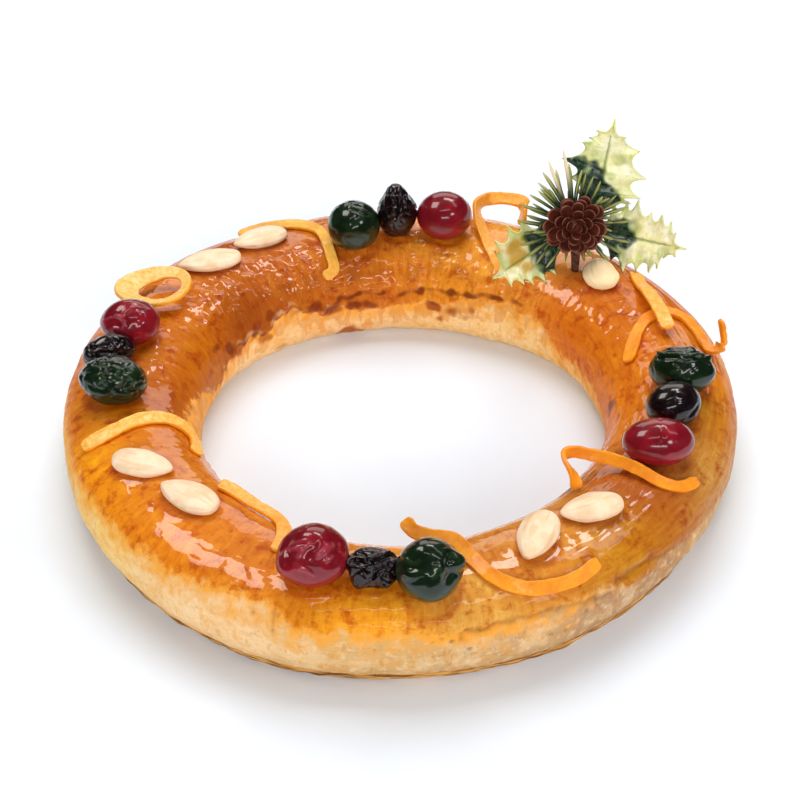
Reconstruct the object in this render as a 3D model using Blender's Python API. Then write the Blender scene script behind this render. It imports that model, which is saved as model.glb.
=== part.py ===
# A ring of baked puff pastry with candied cherries, blanched almonds and strips of orange
# peel on its glazed top, and a pick of a pine cone, needles and three holly leaves.
# The ring stands on its flat underside. Its hole is open and its middle is the Z axis.
# A place on the ring is a bearing in degrees round Z from +X, and a distance across the
# ring's tube in millimetres from its ridge, positive outwards.

import math

import bmesh
import bpy
from mathutils import Matrix, Vector

MM = 0.001

# The pastry ring, in millimetres.
RIDGE_RADIUS = 96.1
RING_HEIGHT = 33.3
OUTER = {"width": 23.9, "waist": 18.5}
INNER = {"width": 23.1, "waist": 10.2}
FULLNESS = 0.86  # 1 gives a round back, and less gives a squarer one
OUTER_FOOT = [(20.6, 5.6), (19.4, 4.3), (19.9, 3.4), (18.2, 1.0), (17.0, 0.0)]
INNER_FOOT = [(-18.3, 0.0), (-20.2, 1.6), (-21.6, 4.0)]
RING_STEPS = 84
BACK_STEPS = 15

# How the hand-rolled ring wanders: size in millimetres, waves round the ring, turn in degrees.
RIDGE_WANDER = [(1.3, 3, 20), (0.25, 7, 40)]
HEIGHT_WANDER = [(0.35, 5, 10), (0.25, 11, 65)]
WIDTH_WANDER = [(0.033, 1, 143), (0.008, 9, 15)]  # as a share of the width

GAP = 0.4  # between the pastry and what lies on it
UP = Vector((0, 0, 1))

# Candied cherries: bearing, across, then length, depth and height, then the turn of the
# length from +X, the number of folds and their depth as a share of the radius.
CHERRY_RISE = 0.44  # how high the middle stands over the pastry, as a share of the height
FOLD_SLANT = 1.5  # how much a fold turns on its way down
CHERRIES = {
    "cherry_red_front": (-105.7, 5.6, 23.0, 20.6, 19.2, 10, 5, 0.05),
    "cherry_dark_front": (-95.0, 5.6, 16.8, 14.0, 12.2, -5, 6, 0.12),
    "cherry_green_front": (-85.4, 10.6, 21.0, 20.4, 20.2, 0, 3, 0.08),
    "cherry_red_left": (164.4, 4.2, 21.8, 18.6, 16.0, 5, 3, 0.06),
    "cherry_dark_left": (173.2, 8.2, 19.4, 10.8, 13.2, 20, 2, 0.05),
    "cherry_green_left": (-176.8, 4.8, 24.0, 18.8, 16.2, -15, 7, 0.10),
    "cherry_green_back": (100.8, -7.0, 20.2, 19.4, 19.2, 0, 4, 0.04),
    "cherry_dark_back": (90.0, -1.6, 15.4, 15.4, 20.8, 0, 6, 0.08),
    "cherry_red_back": (78.8, -0.4, 21.2, 19.8, 18.4, 0, 2, 0.02),
    "cherry_green_right": (-3.6, 2.6, 22.8, 17.4, 16.8, -10, 3, 0.05),
    "cherry_dark_right": (-14.0, 1.2, 20.0, 16.6, 15.6, 25, 2, 0.03),
    "cherry_red_right": (-26.6, 2.6, 24.6, 18.0, 15.6, 0, 2, 0.02),
}

# Blanched almonds: bearing, across, length, width, thickness, and the bearing their point faces.
ALMOND_RISE = 0.4  # how high the middle stands over the pastry, as a share of the thickness
ALMOND_RUN = (0.02, 0.97)  # where the length starts, and how much of it is used
ALMOND_BELLY = 0.82  # less than 1 moves the widest place towards the round end
ALMOND_ENDS = (0.42, 0.25)  # how blunt the round end is, and how much sharper the point is
ALMONDS = {
    "almond_back_outer": (134.6, 3.9, 24.5, 13.0, 5.6, 193),
    "almond_back_inner": (121.0, 6.0, 22.0, 12.6, 5.8, 206),
    "almond_left_outer": (-151.8, 3.4, 22.4, 12.8, 5.6, -21),
    "almond_left_inner": (-137.5, -0.5, 24.0, 13.2, 5.8, 142),
    "almond_front_left": (-63.1, 1.0, 23.6, 13.2, 6.6, 249),
    "almond_front_right": (-49.2, 0.8, 22.0, 12.8, 6.4, 197),
    "almond_by_pick": (38.9, 0.9, 20.0, 13.6, 5.6, 95),
}

# Strips of peel. A route gives bearing, across, height and lean at each point. Height None
# lies on the pastry. Lean 0 lies flat, and lean 90 stands on its edge.
PEEL_THICKNESS = 1.8
PEEL_STEPS = 2  # steps from one point of a route to the next
OVERHANG = 19  # from this far across, a strip over the air faces out as well as up
OVERHANG_TURN = 0.02  # how much it faces out for each millimetre from the Z axis
PEELS = {
    "peel_arch": (
        4.8,
        [(122.8, 15.8, None, 25), (117.4, 14.8, None, 35), (112.2, 11.6, None, 30),
         (108.3, 5.0, None, 10), (107.4, -3.0, None, 0), (107.6, -11.1, None, 0),
         (108.0, -15.9, None, 0), (111.2, -17.4, None, 0)],
    ),
    "peel_left": (
        5.2,
        [(-163.5, 17.6, None, 15), (-164.1, 8.8, None, 18), (-166.2, -2.0, None, 18),
         (-167.0, -10.6, None, 12), (-166.0, -16.4, None, 6), (-163.0, -18.8, None, 0),
         (-158.6, -18.2, None, 0), (-154.8, -16.4, None, 0)],
    ),
    "peel_inner": (
        5.0,
        [(-138.8, -13.4, None, 25), (-134.6, -15.6, None, 30), (-128.4, -16.4, None, 30),
         (-122.0, -16.4, None, 30), (-117.8, -13.0, None, 10), (-115.4, -8.0, None, 0),
         (-114.4, -2.4, None, 0), (-114.2, 0.8, None, 0)],
    ),
    "peel_front": (
        4.8,
        [(-89.2, -12.3, 43.0, 50), (-87.3, -9.9, 40.0, 40), (-84.0, -8.6, 38.4, 30),
         (-79.0, -6.6, 36.8, 20), (-76.6, 0.5, None, 15), (-74.6, 8.9, None, 20),
         (-72.1, 13.9, None, 25), (-68.7, 17.0, None, 25), (-64.6, 18.2, None, 25),
         (-60.3, 18.4, None, 20), (-55.8, 17.2, None, 10)],
    ),
    "peel_folded": (
        4.2,
        [(-44.8, -11.5, None, 10), (-44.0, -15.0, 36.0, 40), (-42.4, -20.4, 37.6, 70),
         (-40.6, -22.6, 38.2, 80), (-38.0, -20.6, 38.0, 70), (-35.8, -16.2, 36.8, 60),
         (-34.4, -10.4, 36.6, 60), (-33.9, -3.6, 36.6, 60), (-33.9, 2.6, 36.2, 50),
         (-33.6, 9.8, None, 30), (-31.6, 15.4, None, 10), (-27.8, 18.0, None, 0)],
    ),
    "peel_straight": (
        5.2,
        [(36.0, 13.4, None, 0), (31.6, 9.4, None, 0), (26.6, 6.0, 37.6, 0),
         (20.4, 4.4, 38.4, 0), (13.6, 3.6, 37.0, 0)],
    ),
    "peel_hooked": (
        4.8,
        [(8.2, -13.5, None, 0), (12.2, -10.6, None, 0), (16.6, -6.4, None, 0),
         (20.4, 0.4, None, 0), (21.4, 8.0, None, 0), (19.2, 13.8, None, 0),
         (15.0, 15.4, None, 0), (10.6, 15.8, None, 0), (8.0, 18.0, 33.2, 5),
         (8.0, 21.4, 35.8, 10), (9.3, 21.4, 39.8, 10), (9.8, 20.8, 43.4, 10)],
    ),
    "peel_standing": (
        5.2,
        [(58.9, -15.9, None, 0), (61.6, -12.4, None, 0), (66.4, -5.9, None, 10),
         (71.0, 4.6, None, 35), (73.2, 13.0, 37.8, 65), (72.6, 18.2, 38.2, 85),
         (70.2, 20.8, 38.4, 90), (67.4, 22.0, 38.4, 90), (65.0, 21.6, 38.2, 80),
         (64.0, 18.0, 37.2, 70), (63.4, 12.4, None, 50)],
    ),
}

# The ring of peel that overhangs the outer edge: its middle, half length and half depth.
LOOP_MIDDLE = Vector((-91.0, 52.8, 37.9))
LOOP_HALF = (13.8, 9.2)
LOOP_BAND = (5.8, 1.9)
LOOP_FLARE = 12  # degrees that the band leans outwards at its foot
LOOP_TILT = 4  # degrees that the loop dips towards its overhanging end

# The pick. Its own axes: SIDE to the right, RISE up the fan, FRONT out of the cone's face.
CONE_MIDDLE = Vector((67.0, 71.0, 50.2))
FACE_ELEVATION = math.radians(28)
SIDE = Vector((1, 0, 0))
FRONT = Vector((0, -math.cos(FACE_ELEVATION), math.sin(FACE_ELEVATION)))
RISE = FRONT.cross(SIDE).normalized()
CONE_RADIUS = 11.4
CONE_DEPTH = (7.0, 8.6)  # behind and before its middle
CONE_BACK_RADIUS = 3
CONE_TAPER = (1.35, 0.3, 0.8)  # how soon, from how far on, and how roundly the tiers narrow
CONE_TIERS = 5
CONE_SCALES = 8
SCALE_NOTCH = 0.24  # how far the gaps between the scales reach in, as a share of the radius
SCALE_LIP = 0.32  # how far a scale's face slopes in towards the next tier
SCALE_RISE = (-0.5, 0.9)  # where a scale's rim and the inner edge of its face are, to the front
STEM_FOOT = Vector((67.0, 65.6, 33.9))
STEM_RADII = (1.4, 1.9)
STEM_TOP = (-1.2, 0.9)  # how far the top is behind the cone's middle, and how far below its edge
NEEDLES = 22
NEEDLE_REACH = 20.0
NEEDLE_DROOP = 0.3  # how much shorter the needles over the pastry are
NEEDLE_UNEVEN = (0.09, 2.3)  # how much the reach varies, and how fast from needle to needle
NEEDLE_HOLLOW = 0.62  # where the gaps between the tips end, as a share of the reach
NEEDLE_CUP = 0.10  # how far the needles come forward for each millimetre of reach
NEEDLE_BACK = 1.6  # how far behind the cone they start
NEEDLE_THICKNESS = 1.2
NEEDLE_GAP = 1.0
LEAF_THICKNESS = 1.0
LEAF_GAP = 0.9
LEAF_CUP = 1.2
SPINES = 4
SPINES_END = 0.84  # where the last spine ends, as a share of the length
SPINE_LEAN = 0.75  # how far a spine's tip points onwards
HOLLOWS = (0.12, 0.48, 0.10, 0.80)  # the edge between spines: least, more, and its arc
SPINE_TIPS = (0.45, 0.55, 0.14, 0.70)  # the same for the tips of the spines
# Holly leaves: root in the fan plane (side, rise), how far behind the cone's middle the root
# is, direction in degrees from SIDE, length, half width, and how far the tip comes forward.
LEAVES = {
    "leaf_top": ((8.6, 6.4), 10.6, 77.5, 31.4, 15.6, -4.0),
    "leaf_right": ((11.0, -3.4), 10.6, -9, 32.0, 14.8, 3.0),
    "leaf_left": ((-5.0, -7.0), 10.6, 209, 25.5, 13.6, 8.0),
}

COLOURS = {
    "pastry": ((0.72, 0.33, 0.08), 0.35),
    "cherry_red": ((0.36, 0.010, 0.022), 0.18),
    "cherry_green": ((0.008, 0.045, 0.016), 0.18),
    "cherry_dark": ((0.010, 0.005, 0.010), 0.18),
    "almond": ((0.80, 0.62, 0.40), 0.55),
    "peel_orange": ((0.85, 0.32, 0.03), 0.45),
    "peel_yellow": ((0.86, 0.45, 0.05), 0.45),
    "leaf": ((0.30, 0.42, 0.08), 0.35),
    "cone": ((0.11, 0.028, 0.018), 0.60),
    "stem": ((0.07, 0.022, 0.014), 0.60),
    "needles": ((0.06, 0.13, 0.05), 0.45),
}


def wander(waves, bearing):
    return sum(size * math.cos(count * (bearing - math.radians(turn))) for size, count, turn in waves)


def ridge_radius(bearing):
    return RIDGE_RADIUS + wander(RIDGE_WANDER, bearing)


def width_share(bearing):
    return 1 + wander(WIDTH_WANDER, bearing)


def tube_point(bearing, across, height):
    """The point at this place across the tube, which swells and narrows with the ring."""
    radius = ridge_radius(bearing) + across * width_share(bearing)
    return Vector((radius * math.cos(bearing), radius * math.sin(bearing), height))


def back_point(bearing, angle):
    """A point on the pastry's back. Angle 0 is the outer waist, and pi is the inner one."""
    side = OUTER if math.cos(angle) >= 0 else INNER
    across = math.copysign(abs(math.cos(angle)) ** FULLNESS, math.cos(angle)) * side["width"]
    top = RING_HEIGHT + wander(HEIGHT_WANDER, bearing)
    height = side["waist"] + (top - side["waist"]) * max(math.sin(angle), 0) ** FULLNESS
    return tube_point(bearing, across, height)


def back_angle(across):
    side = OUTER if across >= 0 else INNER
    share = min(abs(across) / side["width"], 1) ** (1 / FULLNESS)
    return math.acos(math.copysign(share, across))


def back_normal(bearing, across):
    angle = back_angle(across)
    step = 0.02
    along = back_point(bearing + step, angle) - back_point(bearing - step, angle)
    over = back_point(bearing, max(angle - step, 0)) - back_point(bearing, min(angle + step, math.pi))
    return over.cross(along).normalized()


def clear_of_pastry(point, gap=GAP):
    """Moves a point that is in the pastry, or nearer to it than the gap, out to the gap."""
    bearing = math.atan2(point.y, point.x)
    across = (math.hypot(point.x, point.y) - ridge_radius(bearing)) / width_share(bearing)
    side = OUTER if across >= 0 else INNER
    rise = point.z - side["waist"]
    if rise <= 0:
        return point
    top = RING_HEIGHT + wander(HEIGHT_WANDER, bearing)
    power = 2 / FULLNESS
    level = abs(across / side["width"]) ** power + (rise / (top - side["waist"])) ** power
    reach = math.hypot(across, rise)
    surface = reach / level ** (1 / power)
    if reach >= surface + gap:
        return point
    grow = (surface + gap) / reach
    return tube_point(bearing, across * grow, side["waist"] + rise * grow)


def on_pastry(bearing, across, lift):
    place = back_point(bearing, back_angle(across))
    return place + back_normal(bearing, across) * lift


def make_material(name):
    colour, roughness = COLOURS[name]
    material = bpy.data.materials.get(name) or bpy.data.materials.new(name)
    material.use_nodes = True
    shader = material.node_tree.nodes["Principled BSDF"]
    shader.inputs["Base Color"].default_value = (*colour, 1)
    shader.inputs["Roughness"].default_value = roughness
    shader.inputs["Metallic"].default_value = 0
    return material


def make_object(name, mesh, material):
    mesh.shade_smooth()
    mesh.materials.append(make_material(material))
    item = bpy.data.objects.new(name, mesh)
    bpy.context.scene.collection.objects.link(item)
    return item


def loft(name, rings, material, closed=False):
    """A skin over rings of points, given in millimetres, with flat ends unless it is closed."""
    build = bmesh.new()
    rows = [[build.verts.new(point * MM) for point in ring] for ring in rings]
    pairs = list(zip(rows, rows[1:] + rows[:1]))
    for near, far in pairs if closed else pairs[:-1]:
        for i in range(len(near)):
            j = (i + 1) % len(near)
            build.faces.new((near[i], near[j], far[j], far[i]))
    if not closed:
        build.faces.new(rows[0])
        build.faces.new(rows[-1])
    bmesh.ops.recalc_face_normals(build, faces=build.faces)
    if build.calc_volume(signed=True) < 0:
        bmesh.ops.reverse_faces(build, faces=build.faces)
    mesh = bpy.data.meshes.new(name)
    build.to_mesh(mesh)
    build.free()
    return make_object(name, mesh, material)


def sheet(name, points, faces, material, thickness):
    """A thin sheet of faces over numbered points, given in millimetres, thickened both ways."""
    mesh = bpy.data.meshes.new(name)
    mesh.from_pydata([point * MM for point in points], [], faces)
    item = make_object(name, mesh, material)
    thicken = item.modifiers.new("Thickness", "SOLIDIFY")
    thicken.thickness = thickness * MM
    thicken.offset = 0
    return item


def make_ring():
    rings = []
    for i in range(RING_STEPS):
        bearing = math.tau * i / RING_STEPS
        back = [back_point(bearing, math.pi * k / BACK_STEPS) for k in range(BACK_STEPS + 1)]
        inner = [tube_point(bearing, *place) for place in reversed(INNER_FOOT)]
        outer = [tube_point(bearing, *place) for place in reversed(OUTER_FOOT)]
        rings.append(back + inner + outer)
    loft("pastry_ring", rings, "pastry", closed=True)


def make_cherry(name, bearing, across, length, depth, height, turn, folds, fold_depth):
    sides, tiers = 14, 8
    middle = on_pastry(math.radians(bearing), across, 0) + UP * CHERRY_RISE * height
    turned = Matrix.Rotation(math.radians(turn), 3, "Z")
    rings = []
    for k in range(1, tiers):
        polar = math.pi * k / tiers
        ring = []
        for i in range(sides):
            round_it = math.tau * i / sides
            crease = (0.5 + 0.5 * math.cos(folds * round_it + FOLD_SLANT * polar)) ** 2
            share = 1 - fold_depth * crease * math.sin(polar)
            local = Vector((
                0.5 * length * share * math.sin(polar) * math.cos(round_it),
                0.5 * depth * share * math.sin(polar) * math.sin(round_it),
                0.5 * height * math.cos(polar),
            ))
            ring.append(clear_of_pastry(middle + turned @ local))
        rings.append(ring)
    loft(name, rings, "_".join(name.split("_")[:2]))


def make_almond(name, bearing, across, length, width, thickness, facing):
    sides, tiers = 10, 8
    bearing = math.radians(bearing)
    up = back_normal(bearing, across)
    along = Vector((math.cos(math.radians(facing)), math.sin(math.radians(facing)), 0))
    along = (along - up * along.dot(up)).normalized()
    beside = up.cross(along)
    middle = on_pastry(bearing, across, ALMOND_RISE * thickness + GAP)
    rings = []
    for k in range(tiers + 1):
        run = ALMOND_RUN[0] + ALMOND_RUN[1] * k / tiers
        girth = math.sin(math.pi * run**ALMOND_BELLY) ** (ALMOND_ENDS[0] + ALMOND_ENDS[1] * run)
        ring = []
        for i in range(sides):
            round_it = math.tau * i / sides
            offset = beside * 0.5 * width * math.cos(round_it) + up * 0.5 * thickness * math.sin(round_it)
            point = middle + along * length * (run - 0.5) + offset * girth
            ring.append(clear_of_pastry(point))
        rings.append(ring)
    loft(name, rings, "almond")


def smooth_run(values, steps):
    """Points along a smooth curve through the values, with this many steps from one to the next."""
    run = []
    ends = [values[0] * 2 - values[1]] + values + [values[-1] * 2 - values[-2]]
    for a, b, c, d in zip(ends, ends[1:], ends[2:], ends[3:]):
        for k in range(steps):
            t = k / steps
            run.append(0.5 * (b * 2 + (c - a) * t + (a * 2 - b * 5 + c * 4 - d) * t**2
                              + (b * 3 - a - c * 3 + d) * t**3))
    return run + [values[-1]]


def peel_section(middle, along, face, width):
    """The four corners of a strip's section, lifted clear of the pastry as one piece."""
    face = (face - along * face.dot(along)).normalized()
    beside = along.cross(face)
    corners = [(1, 1), (-1, 1), (-1, -1), (1, -1)]
    ring = [middle + beside * 0.5 * width * b + face * 0.5 * PEEL_THICKNESS * f for b, f in corners]
    lift = max((clear_of_pastry(point) - point).length for point in ring)
    return [clear_of_pastry(point + UP * lift * 0.5) for point in ring]


def make_peel(name, width, route):
    middles, faces = [], []
    for bearing, across, height, lean in route:
        bearing = math.radians(bearing)
        if height is None:
            stand = 0.5 * (PEEL_THICKNESS + (width - PEEL_THICKNESS) * math.sin(math.radians(lean)))
            place = on_pastry(bearing, across, stand + GAP)
            face = back_normal(bearing, across)
        else:
            place = tube_point(bearing, across, height)
            turn_out = OVERHANG_TURN if across > OVERHANG else 0
            face = (UP + tube_point(bearing, 0, 0) * turn_out).normalized()
        middles.append(place)
        faces.append(face)
    leans = [Vector((lean, 0, 0)) for _, _, _, lean in route]
    path, facing, turns = (smooth_run(values, PEEL_STEPS) for values in (middles, faces, leans))
    rings = []
    for i, middle in enumerate(path):
        along = (path[min(i + 1, len(path) - 1)] - path[max(i - 1, 0)]).normalized()
        face = Matrix.Rotation(math.radians(turns[i].x), 3, along) @ facing[i].normalized()
        rings.append(peel_section(middle, along, face, width))
    loft(name, rings, "peel_yellow" if name == "peel_arch" else "peel_orange")


def make_peel_loop():
    steps = 28
    band, thickness = LOOP_BAND
    tilt = Matrix.Rotation(math.radians(-LOOP_TILT), 3, "Y")
    rings = []
    for i in range(steps):
        turn = math.tau * i / steps
        out = Vector((math.cos(turn) * LOOP_HALF[1], math.sin(turn) * LOOP_HALF[0], 0)).normalized()
        middle = Vector((math.cos(turn) * LOOP_HALF[0], math.sin(turn) * LOOP_HALF[1], 0))
        flare = Matrix.Rotation(math.radians(LOOP_FLARE), 3, UP.cross(out))
        ring = []
        for side, level in [(1, 1), (-1, 1), (-1, -1), (1, -1)]:
            local = middle + flare @ (out * 0.5 * thickness * side + UP * 0.5 * band * level)
            ring.append(clear_of_pastry(LOOP_MIDDLE + tilt @ local))
        rings.append(ring)
    loft("peel_loop", rings, "peel_yellow", closed=True)


def fan_point(side, rise, front):
    return CONE_MIDDLE + SIDE * side + RISE * rise + FRONT * front


def make_cone():
    """Tiers of blunt scales, each tier narrower and further forward than the last."""
    around = CONE_SCALES * 2
    back = []
    for i in range(around):
        turn = math.tau * i / around
        back.append(fan_point(CONE_BACK_RADIUS * math.cos(turn), CONE_BACK_RADIUS * math.sin(turn),
                              -CONE_DEPTH[0]))
    rings = [back]
    soon, start, roundness = CONE_TAPER
    for tier in range(CONE_TIERS):
        share = (tier + 0.5) / CONE_TIERS
        radius = CONE_RADIUS * math.cos(0.5 * math.pi * max(share * soon - start, 0)) ** roundness
        front = -CONE_DEPTH[0] + (CONE_DEPTH[0] + CONE_DEPTH[1]) * share
        for inset, step in zip((0.0, SCALE_LIP), SCALE_RISE):
            ring = []
            for i in range(around):
                turn = math.tau * (i + tier) / around
                notch = SCALE_NOTCH if (i + tier) % 2 else 0.0
                size = radius * (1 - inset) * (1 - notch)
                ring.append(fan_point(size * math.cos(turn - math.tau * tier / around),
                                      size * math.sin(turn - math.tau * tier / around), front + step))
            rings.append(ring)
    loft("pine_cone", rings, "cone").data.shade_flat()


def make_stem():
    sides, tiers = 8, 3
    top = fan_point(0, -CONE_RADIUS, STEM_TOP[0]) - UP * STEM_TOP[1]
    rings = []
    for k in range(tiers + 1):
        share = k / tiers
        middle = STEM_FOOT.lerp(top, share)
        radius = STEM_RADII[0] + (STEM_RADII[1] - STEM_RADII[0]) * share
        ring = []
        for i in range(sides):
            turn = math.tau * i / sides
            ring.append(clear_of_pastry(middle + Vector((math.cos(turn), math.sin(turn), 0)) * radius))
        rings.append(ring)
    loft("cone_stem", rings, "stem")


def make_needles():
    """One star out to the needles' uneven tips, cupped forward around the cone's back."""
    start = -CONE_DEPTH[0] - NEEDLE_BACK
    uneven, pace = NEEDLE_UNEVEN
    points = [fan_point(0, 0, start)]
    for i in range(2 * NEEDLES):
        turn = math.tau * i / (2 * NEEDLES)
        tip = i % 2 == 0
        reach = NEEDLE_REACH * (1 + uneven * math.sin(pace * i) if tip else NEEDLE_HOLLOW)
        reach *= 1 + NEEDLE_DROOP * min(math.sin(turn), 0)
        points.append(fan_point(reach * math.cos(turn), reach * math.sin(turn),
                                start + reach * NEEDLE_CUP))
    faces = [(0, 1 + i, 1 + (i + 1) % (2 * NEEDLES)) for i in range(2 * NEEDLES)]
    points = [clear_of_pastry(point, NEEDLE_GAP) for point in points]
    sheet("needle_tuft", points, faces, "needles", NEEDLE_THICKNESS)


def make_leaf(name, root, behind, direction, length, half_width, forward):
    """A holly leaf: stations along the midrib, a hollow of the edge at each, spines between."""
    direction = math.radians(direction)

    def leaf_point(run, off):
        share = run / length
        side = root[0] + run * math.cos(direction) - off * math.sin(direction)
        rise = root[1] + run * math.sin(direction) + off * math.cos(direction)
        cup = LEAF_CUP * (off / half_width) ** 2
        return clear_of_pastry(fan_point(side, rise, -behind + forward * share**3 + cup), LEAF_GAP)

    def edge_at(shape, share):
        least, more, start, arc = shape
        return half_width * (least + more * math.sin(math.pi * (start + arc * share)))

    points, faces = [], []
    for i in range(SPINES + 1):
        run = SPINES_END * length * i / SPINES
        hollow = edge_at(HOLLOWS, i / SPINES)
        points += [leaf_point(run, 0), leaf_point(run, hollow), leaf_point(run, -hollow)]
    tip = len(points)
    points.append(leaf_point(length, 0))
    for i in range(SPINES):
        m, n = 3 * i, 3 * i + 3
        faces += [(m, n, n + 1, m + 1), (m, m + 2, n + 2, n)]
        run = SPINES_END * length * (i + SPINE_LEAN) / SPINES
        reach = edge_at(SPINE_TIPS, i / (SPINES - 1))
        for off, edge in [(reach, 1), (-reach, 2)]:
            points.append(leaf_point(run, off))
            spine = len(points) - 1
            faces.append((m + edge, n + edge, spine) if edge == 1 else (n + edge, m + edge, spine))
    last = 3 * SPINES
    faces += [(last, tip, last + 1), (last, last + 2, tip)]
    sheet(name, points, faces, "leaf", LEAF_THICKNESS)


def main():
    for item in list(bpy.data.objects):
        bpy.data.objects.remove(item)
    make_ring()
    for name, values in CHERRIES.items():
        make_cherry(name, *values)
    for name, values in ALMONDS.items():
        make_almond(name, *values)
    for name, values in PEELS.items():
        make_peel(name, *values)
    make_peel_loop()
    make_cone()
    make_stem()
    make_needles()
    for name, values in LEAVES.items():
        make_leaf(name, *values)


main()
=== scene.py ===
# A glazed ring of puff pastry with candied cherries, blanched almonds, orange peel and a holly pick.
# A place on the ring is a bearing in degrees round Z from +X, and a distance across the tube in
# millimetres from its ridge, positive outwards. Everything is worked out in millimetres.

import math
from types import SimpleNamespace

import bmesh
import bpy
import numpy as np
from mathutils import Matrix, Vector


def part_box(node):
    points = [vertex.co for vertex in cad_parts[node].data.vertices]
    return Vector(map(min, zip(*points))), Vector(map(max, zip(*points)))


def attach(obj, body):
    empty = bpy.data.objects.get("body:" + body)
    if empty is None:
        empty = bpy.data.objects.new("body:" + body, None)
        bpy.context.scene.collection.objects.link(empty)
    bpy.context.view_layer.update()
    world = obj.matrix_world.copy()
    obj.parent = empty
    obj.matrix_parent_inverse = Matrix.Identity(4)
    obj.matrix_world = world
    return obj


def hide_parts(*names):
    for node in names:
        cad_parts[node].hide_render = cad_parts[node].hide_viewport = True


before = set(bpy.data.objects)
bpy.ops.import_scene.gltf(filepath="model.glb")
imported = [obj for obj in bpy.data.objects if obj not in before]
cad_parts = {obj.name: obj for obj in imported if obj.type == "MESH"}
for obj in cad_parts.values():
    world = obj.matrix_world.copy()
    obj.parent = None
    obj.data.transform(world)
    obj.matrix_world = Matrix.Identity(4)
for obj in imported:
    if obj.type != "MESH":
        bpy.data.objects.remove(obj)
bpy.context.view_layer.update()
mm = 0.001
rng = np.random.default_rng(12)

# The way to the camera, and up and right as the camera sees them.
towardsView = np.array([0.0, -0.78, 0.62])
upInView = np.array([0.0, 0.62, 0.78])
rightInView = np.array([1.0, 0.0, 0.0])

# The noise's slopes, and the order that it takes them in.
slopes = rng.normal(size=(256, 3))
slopes /= np.linalg.norm(slopes, axis=1, keepdims=True)
order = rng.permutation(256)


# Smooth noise from about -1 to 1, with one swell to every size millimetres. Each shift is another
# pattern.
def ripple(points, size, shift=0):
    spot = np.asarray(points, float) / size + 31.7 * shift + 500
    cell = np.floor(spot).astype(int)
    part = spot - cell
    fade = part ** 3 * (part * (part * 6 - 15) + 10)
    total = np.zeros(part.shape[:-1])
    for corner in np.ndindex(2, 2, 2):
        index = (cell + corner) % 256
        pick = order[(order[(order[index[..., 0]] + index[..., 1]) % 256] + index[..., 2]) % 256]
        weight = np.where(corner, fade, 1 - fade).prod(-1)
        total += ((part - corner) * slopes[pick]).sum(-1) * weight
    return total * 1.7


# 0 at low and 1 at high, eased between them. Low may be the larger.
def smoothStep(low, high, value):
    share = np.clip((value - low) / (high - low), 0, 1)
    return share * share * (3 - 2 * share)


# 1 in the middle, falling away on both sides.
def mound(away, width):
    return np.exp(-(away / width) ** 2)


# A wave squared off by a power below 1.
def squared(wave, power):
    return np.sign(wave) * np.abs(wave) ** power


def unit(vectors):
    vectors = np.asarray(vectors, float)
    return vectors / np.maximum(np.linalg.norm(vectors, axis=-1, keepdims=True), 1e-9)


# A turn about +Z.
def spinAbout(degrees):
    c, s = math.cos(math.radians(degrees)), math.sin(math.radians(degrees))
    return np.array([[c, -s, 0], [s, c, 0], [0, 0, 1]])


def turnAbout(axis, angle, vector):
    axis = unit(axis)
    c, s = np.cos(angle)[..., None], np.sin(angle)[..., None]
    along = axis * (axis * vector).sum(-1, keepdims=True)
    return vector * c + np.cross(axis, vector) * s + along * (1 - c)


# Angles round a closed section.
def fullTurn(count):
    return np.linspace(0, math.tau, count, endpoint=False)


def linear(hexColour):
    values = np.array([int(hexColour[i:i + 2], 16) / 255 for i in (0, 2, 4)])
    return np.where(values <= 0.04045, values / 12.92, ((values + 0.055) / 1.055) ** 2.4)


# A smooth run through these values, in this many steps from each to the next.
def smoothRun(values, steps):
    values = np.asarray(values, float)
    ends = np.vstack([2 * values[:1] - values[1:2], values, 2 * values[-1:] - values[-2:-1]])
    t = (np.arange(steps) / steps)[:, None]
    run = []
    for a, b, c, d in zip(ends, ends[1:], ends[2:], ends[3:]):
        run.append(0.5 * (2 * b + (c - a) * t + (2 * a - 5 * b + 4 * c - d) * t ** 2
                          + (3 * b - a - 3 * c + d) * t ** 3))
    return np.vstack(run + [values[-1:]])


# How far each point is from a line of points.
def nearLine(points, line):
    best = np.full(points.shape[:-1], 1e9)
    for start, end in zip(line, line[1:]):
        run = end - start
        share = np.clip(((points - start) @ run) / max(run @ run, 1e-9), 0, 1)
        best = np.minimum(best, np.linalg.norm(points - start - share[..., None] * run, axis=-1))
    return best


def gridFaces(rows, columns, wrapRows, wrapColumns):
    i, j = np.meshgrid(np.arange(rows if wrapRows else rows - 1),
                       np.arange(columns if wrapColumns else columns - 1), indexing="ij")
    k, m = (i + 1) % rows, (j + 1) % columns
    corners = [i * columns + j, i * columns + m, k * columns + m, k * columns + j]
    return np.stack(corners, -1).reshape(-1, 4)


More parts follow.
